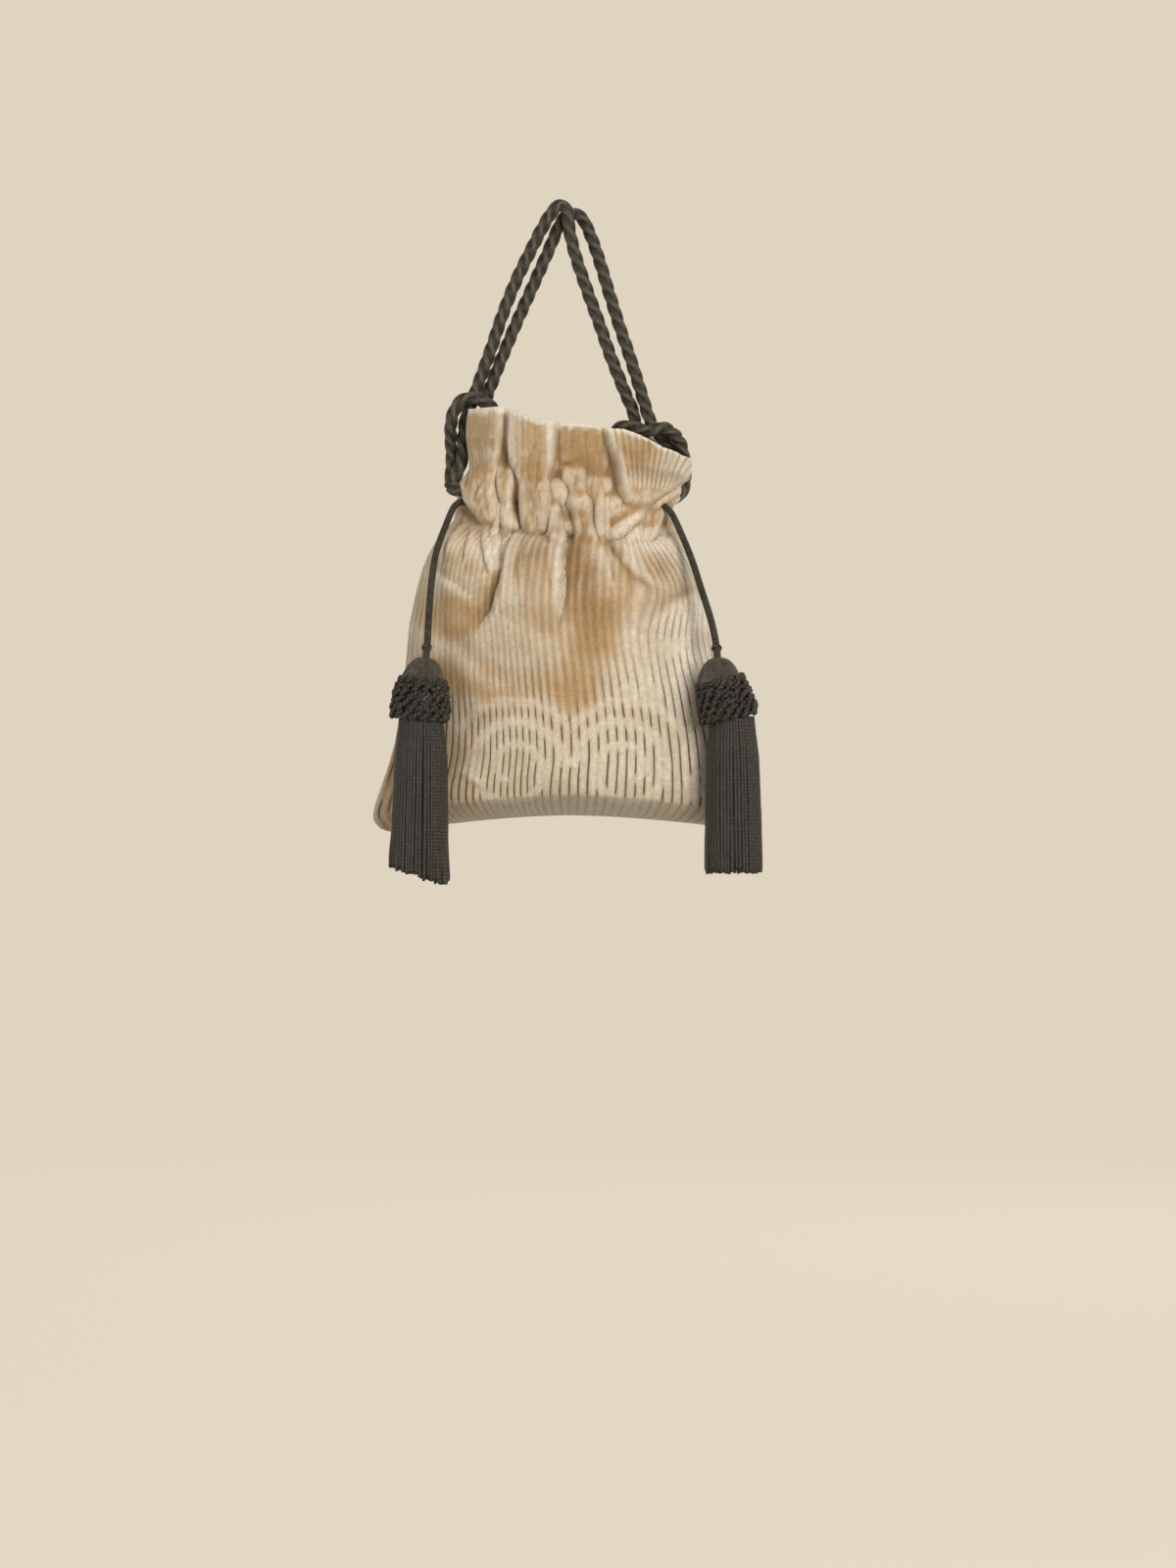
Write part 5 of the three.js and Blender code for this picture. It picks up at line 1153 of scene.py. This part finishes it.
def velvet():
    mat, tree, skin = new_material("velvet")
    rib_at, fall_at = attribute(tree, "rib"), attribute(tree, "fall")
    nap_at, cut_at, band_at = attribute(tree, "nap"), attribute(tree, "cut"), attribute(tree, "band")
    place = node(tree, "ShaderNodeCombineXYZ", X=rib_at, Y=math_node(tree, "MULTIPLY", fall_at, 0.06)).outputs[0]
    streak = node(tree, "ShaderNodeTexNoise", Vector=place, Scale=1.1, Detail=3.0, Roughness=0.6).outputs["Fac"]
    here = node(tree, "ShaderNodeTexCoord").outputs["Object"]
    mottle = node(tree, "ShaderNodeTexNoise", Vector=here, Scale=160.0, Detail=3.0, Roughness=0.6).outputs["Fac"]
    fine = node(tree, "ShaderNodeTexNoise", Vector=here, Scale=900.0, Detail=2.0, Roughness=0.6).outputs["Fac"]
    crest_at = attribute(tree, "crest")
    nap_sum = math_node(tree, "ADD", nap_at, math_node(tree, "MULTIPLY", math_node(tree, "SUBTRACT", streak, 0.5), 1.1))
    nap_sum = math_node(tree, "ADD", nap_sum, math_node(tree, "MULTIPLY", math_node(tree, "SUBTRACT", mottle, 0.5), 0.42))
    # painted highlight: crests lean towards the lighter colour
    nap_sum = math_node(tree, "SUBTRACT", nap_sum, math_node(tree, "MULTIPLY", math_node(tree, "MAXIMUM", crest_at, 0.0), 0.22))
    pile = node(tree, "ShaderNodeTexNoise", Vector=here, Scale=420.0, Detail=4.0, Roughness=0.7).outputs["Fac"]
    nap_sum = math_node(tree, "ADD", nap_sum, math_node(tree, "MULTIPLY", math_node(tree, "SUBTRACT", pile, 0.5), 0.5))
    ribbed_at = attribute(tree, "ribbed")
    # painted highlight: the crown of each rib leans towards the lighter colour, its valleys towards tan
    crown = math_node(tree, "MULTIPLY", ribbed_at, smooth_range(tree, math_node(tree, "PINGPONG", rib_at, 0.5), 0.12, 0.5))
    nap_sum = math_node(tree, "SUBTRACT", nap_sum, math_node(tree, "MULTIPLY", crown, math_node(tree, "MULTIPLY_ADD", streak, 0.9, -0.15)))
    brushed = node(tree, "ShaderNodeCombineXYZ", X=math_node(tree, "MULTIPLY", rib_at, 2.7), Y=math_node(tree, "MULTIPLY", fall_at, 0.16)).outputs[0]
    hair = node(tree, "ShaderNodeTexNoise", Vector=brushed, Scale=1.0, Detail=3.0, Roughness=0.65).outputs["Fac"]
    nap_sum = math_node(tree, "ADD", nap_sum, math_node(tree, "MULTIPLY", math_node(tree, "SUBTRACT", hair, 0.5), 0.9))
    nap_sum = math_node(tree, "ADD", nap_sum, 0.12)
    nap_in = smooth_range(tree, nap_sum, -0.10, 0.95)
    base = mix_colour(tree, nap_in, srgb(193, 178, 155), srgb(172, 140, 98))
    # painted highlight: crests are lightened
    base = mix_colour(tree, math_node(tree, "MULTIPLY", math_node(tree, "MAXIMUM", crest_at, 0.0), 0.36, clamp=True), base, srgb(218, 204, 184))
    # painted highlight: lightened where the highlight patches and the top-edge band are set
    base = mix_colour(tree, math_node(tree, "MULTIPLY", attribute(tree, "painted_highlight"), 0.88), base, srgb(230, 220, 204))
    base = mix_colour(tree, math_node(tree, "MULTIPLY", band_at, 0.50), base, srgb(212, 200, 181))
    # painted shade: brown where the deep attribute is set, a little less on rib crowns
    base = mix_colour(tree, math_node(tree, "MULTIPLY", attribute(tree, "deep"), math_node(tree, "MULTIPLY_ADD", crown, -0.25, 0.84), clamp=True), base, srgb(128, 98, 62))
    # hollows are deeper in shade
    base = mix_colour(tree, math_node(tree, "MULTIPLY", math_node(tree, "MINIMUM", crest_at, 0.0), -0.34, clamp=True), base, srgb(122, 94, 60))
    # dark slits between the ribs, of uneven length
    across = math_node(tree, "PINGPONG", rib_at, 0.5)
    width = math_node(tree, "MULTIPLY_ADD", fine, 0.08, 0.085)
    line = math_node(tree, "SUBTRACT", 1.0, smooth_range(tree, across, math_node(tree, "MULTIPLY", width, 0.5), width))
    slit = math_node(tree, "MULTIPLY", line, cut_at)
    base = mix_colour(tree, math_node(tree, "MULTIPLY", slit, 0.94), base, srgb(104, 87, 59))
    # the underside turns away from the light
    base = mix_colour(tree, math_node(tree, "MULTIPLY", attribute(tree, "under"), 0.22), base, srgb(156, 134, 94))
    shade = math_node(tree, "MULTIPLY_ADD", ribbed_at, smooth_range(tree, across, 0.0, 0.5, -0.10, 0.05), 1.0)
    base = node(tree, "ShaderNodeHueSaturation", Color=base, Value=math_node(tree, "MULTIPLY", shade, math_node(tree, "MULTIPLY", smooth_range(tree, fine, 0.2, 0.8, 0.90, 1.08), math_node(tree, "MULTIPLY", smooth_range(tree, hair, 0.25, 0.75, 0.89, 1.08), smooth_range(tree, pile, 0.25, 0.75, 0.86, 1.11))))).outputs[0]
    tree.links.new(base, skin.inputs["Base Color"])
    skin.inputs["Roughness"].default_value = 0.85
    skin.inputs["Specular IOR Level"].default_value = 0.15
    skin.inputs["Sheen Weight"].default_value = 0.9
    skin.inputs["Sheen Roughness"].default_value = 0.38
    skin.inputs["Sheen Tint"].default_value = (1.0, 0.93, 0.84, 1.0)
    rise = math_node(tree, "ADD", math_node(tree, "MULTIPLY_ADD", fine, 0.5, math_node(tree, "MULTIPLY", hair, 0.5)), math_node(tree, "MULTIPLY", slit, -1.2))
    lift = node(tree, "ShaderNodeBump", Strength=0.6, Distance=0.0006, Height=rise).outputs[0]
    tree.links.new(lift, skin.inputs["Normal"])
    return mat


def thread(name, dark, light, threads, pitch, sheen, groove=0.0, lit=0.0):
    """Rayon thread: fine lines that run along each strand."""
    mat, tree, skin = new_material(name)
    along, across = attribute(tree, "along"), attribute(tree, "across")
    here = node(tree, "ShaderNodeTexCoord").outputs["Object"]
    mottle = node(tree, "ShaderNodeTexNoise", Vector=here, Scale=420.0, Detail=2.0, Roughness=0.5).outputs["Fac"]
    run = math_node(tree, "ADD", math_node(tree, "MULTIPLY", across, threads), math_node(tree, "MULTIPLY", along, pitch))
    wave = math_node(tree, "PINGPONG", math_node(tree, "ADD", run, math_node(tree, "MULTIPLY", mottle, 0.8)), 0.5)
    fibre = math_node(tree, "MULTIPLY", wave, 2.0)
    # fine lines lighter along each strand: partly the thread's own lines, partly painted glints
    bright = math_node(tree, "MULTIPLY", smooth_range(tree, fibre, 0.35, 1.0), smooth_range(tree, mottle, 0.30, 0.72))
    # painted highlight along the crown of each strand
    crown = math_node(tree, "MULTIPLY", smooth_range(tree, math_node(tree, "ABSOLUTE", across), 0.02, 0.50, lit, 0.0), math_node(tree, "MULTIPLY_ADD", fibre, 0.5, 0.5))
    base = mix_colour(tree, math_node(tree, "ADD", bright, crown, clamp=True), dark, light)
    # painted shade: the strands are darker where they meet
    meet = smooth_range(tree, math_node(tree, "ABSOLUTE", across), 0.45, 1.0, 1.0, 1.0 - groove)
    base = node(tree, "ShaderNodeHueSaturation", Color=base, Value=meet).outputs[0]
    tree.links.new(base, skin.inputs["Base Color"])
    skin.inputs["Roughness"].default_value = 0.44
    skin.inputs["Specular IOR Level"].default_value = 0.36
    skin.inputs["Sheen Weight"].default_value = sheen
    skin.inputs["Sheen Roughness"].default_value = 0.5
    skin.inputs["Sheen Tint"].default_value = (1.0, 0.96, 0.9, 1.0)
    lift = node(tree, "ShaderNodeBump", Strength=0.6, Distance=0.00025, Height=fibre).outputs[0]
    tree.links.new(lift, skin.inputs["Normal"])
    return mat


VELVET = velvet()
CORD = thread("cord", srgb(34, 31, 23), srgb(100, 92, 74), 3.0, 0.55, 0.06, 0.70, 0.60)
THIN = thread("thin_cord", srgb(30, 27, 20), srgb(96, 89, 72), 2.0, 0.9, 0.06, 0.70, 0.35)
SATIN = thread("tassel", srgb(24, 20, 17), srgb(66, 57, 49), 1.5, 0.55, 0.08)
DOME = thread("dome", srgb(49, 44, 37), srgb(120, 110, 96), 1.5, 0.55, 0.10)
RUFF = thread("ruff", srgb(26, 23, 20), srgb(80, 72, 62), 2.0, 0.7, 0.06, 0.70, 0.35)

# --------------------------------------------------------------------- ride
pouch.data.materials.append(VELVET)
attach(pouch, "root")
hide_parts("pouch")
for side, obj, line, length in handle_cords:
    obj.data.materials.append(CORD)
    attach(obj, "root")
    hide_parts("drawcord_" + side)
for side, obj, line, length in tassel_cords:
    obj.data.materials.append(THIN)
    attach(obj, "root")
    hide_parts("tassel_cord_" + side)
    for kind, piece in tassel_pieces[side].items():
        piece.data.materials.append({"knot": THIN, "head": DOME, "collar": RUFF, "skirt": SATIN}[kind])
        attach(piece, "root")
        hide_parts("tassel_%s_%s" % (kind, side))

# -------------------------------------------------------------------- stage
FLOOR_Z, BOWL_R, BOWL_BEND, BOWL_TOP = -0.75, 6.0, 2.4, 5.0
turns = np.linspace(0, TAU, 96, endpoint=False)
profile_r = np.concatenate([[0.001, 1.2, 2.4], BOWL_R - BOWL_BEND + BOWL_BEND * np.sin(np.linspace(0, np.pi / 2, 24)), [BOWL_R]])
profile_z = np.concatenate([[FLOOR_Z] * 3, FLOOR_Z + BOWL_BEND * (1 - np.cos(np.linspace(0, np.pi / 2, 24))), [BOWL_TOP]])
bowl_points = np.stack([profile_r[:, None] * np.cos(turns), profile_r[:, None] * np.sin(turns), np.broadcast_to(profile_z[:, None], (len(profile_r), 96))], -1)
floor = make_mesh("floor", bowl_points.reshape(-1, 3) / MM, [grid_quads(len(profile_r), 96)])
floor_mat, floor_tree, floor_skin = new_material("floor")
floor_skin.inputs["Base Color"].default_value = (0.16, 0.145, 0.12, 1.0)
floor_skin.inputs["Roughness"].default_value = 0.95
floor_skin.inputs["Specular IOR Level"].default_value = 0.0
floor_skin.inputs["Emission Color"].default_value = (1.0, 0.90, 0.715, 1.0)
floor_skin.inputs["Emission Strength"].default_value = 0.66
floor.data.materials.append(floor_mat)
floor.visible_diffuse = False
floor.visible_shadow = False

world = bpy.data.worlds.new("studio")
scene.world = world
world.use_nodes = True
tree = world.node_tree
sky = tree.nodes["Background"]
height = node(tree, "ShaderNodeSeparateXYZ", Vector=node(tree, "ShaderNodeTexCoord").outputs["Generated"]).outputs["Z"]
ramp = smooth_range(tree, height, -0.9, 0.9)
tree.links.new(mix_colour(tree, ramp, (0.80, 0.74, 0.60, 1), (0.94, 0.91, 0.86, 1)), sky.inputs["Color"])
sky.inputs["Strength"].default_value = 0.44


def area_light(name, place, size, power, colour):
    data = bpy.data.lights.new(name, "AREA")
    data.shape = "DISK"
    data.size = size
    data.energy = power
    data.color = colour
    made = bpy.data.objects.new(name, data)
    scene.collection.objects.link(made)
    made.location = place
    aim = np.array((0.0, 0.0, -0.22)) - np.array(place)
    flat = math.hypot(aim[0], aim[1])
    made.rotation_euler = (math.atan2(flat, -aim[2]), 0, math.atan2(aim[1], aim[0]) - math.pi / 2)
    return made


area_light("key", (1.15, -2.10, 0.42), 1.5, 50.0, (1.0, 0.96, 0.90))
area_light("back", (0.7, 2.3, 0.7), 1.6, 13.0, (1.0, 0.97, 0.92))
area_light("fill", (-1.8, -1.6, 0.1), 1.4, 14.0, (1.0, 0.97, 0.93))
scene.view_settings.view_transform = "Standard"
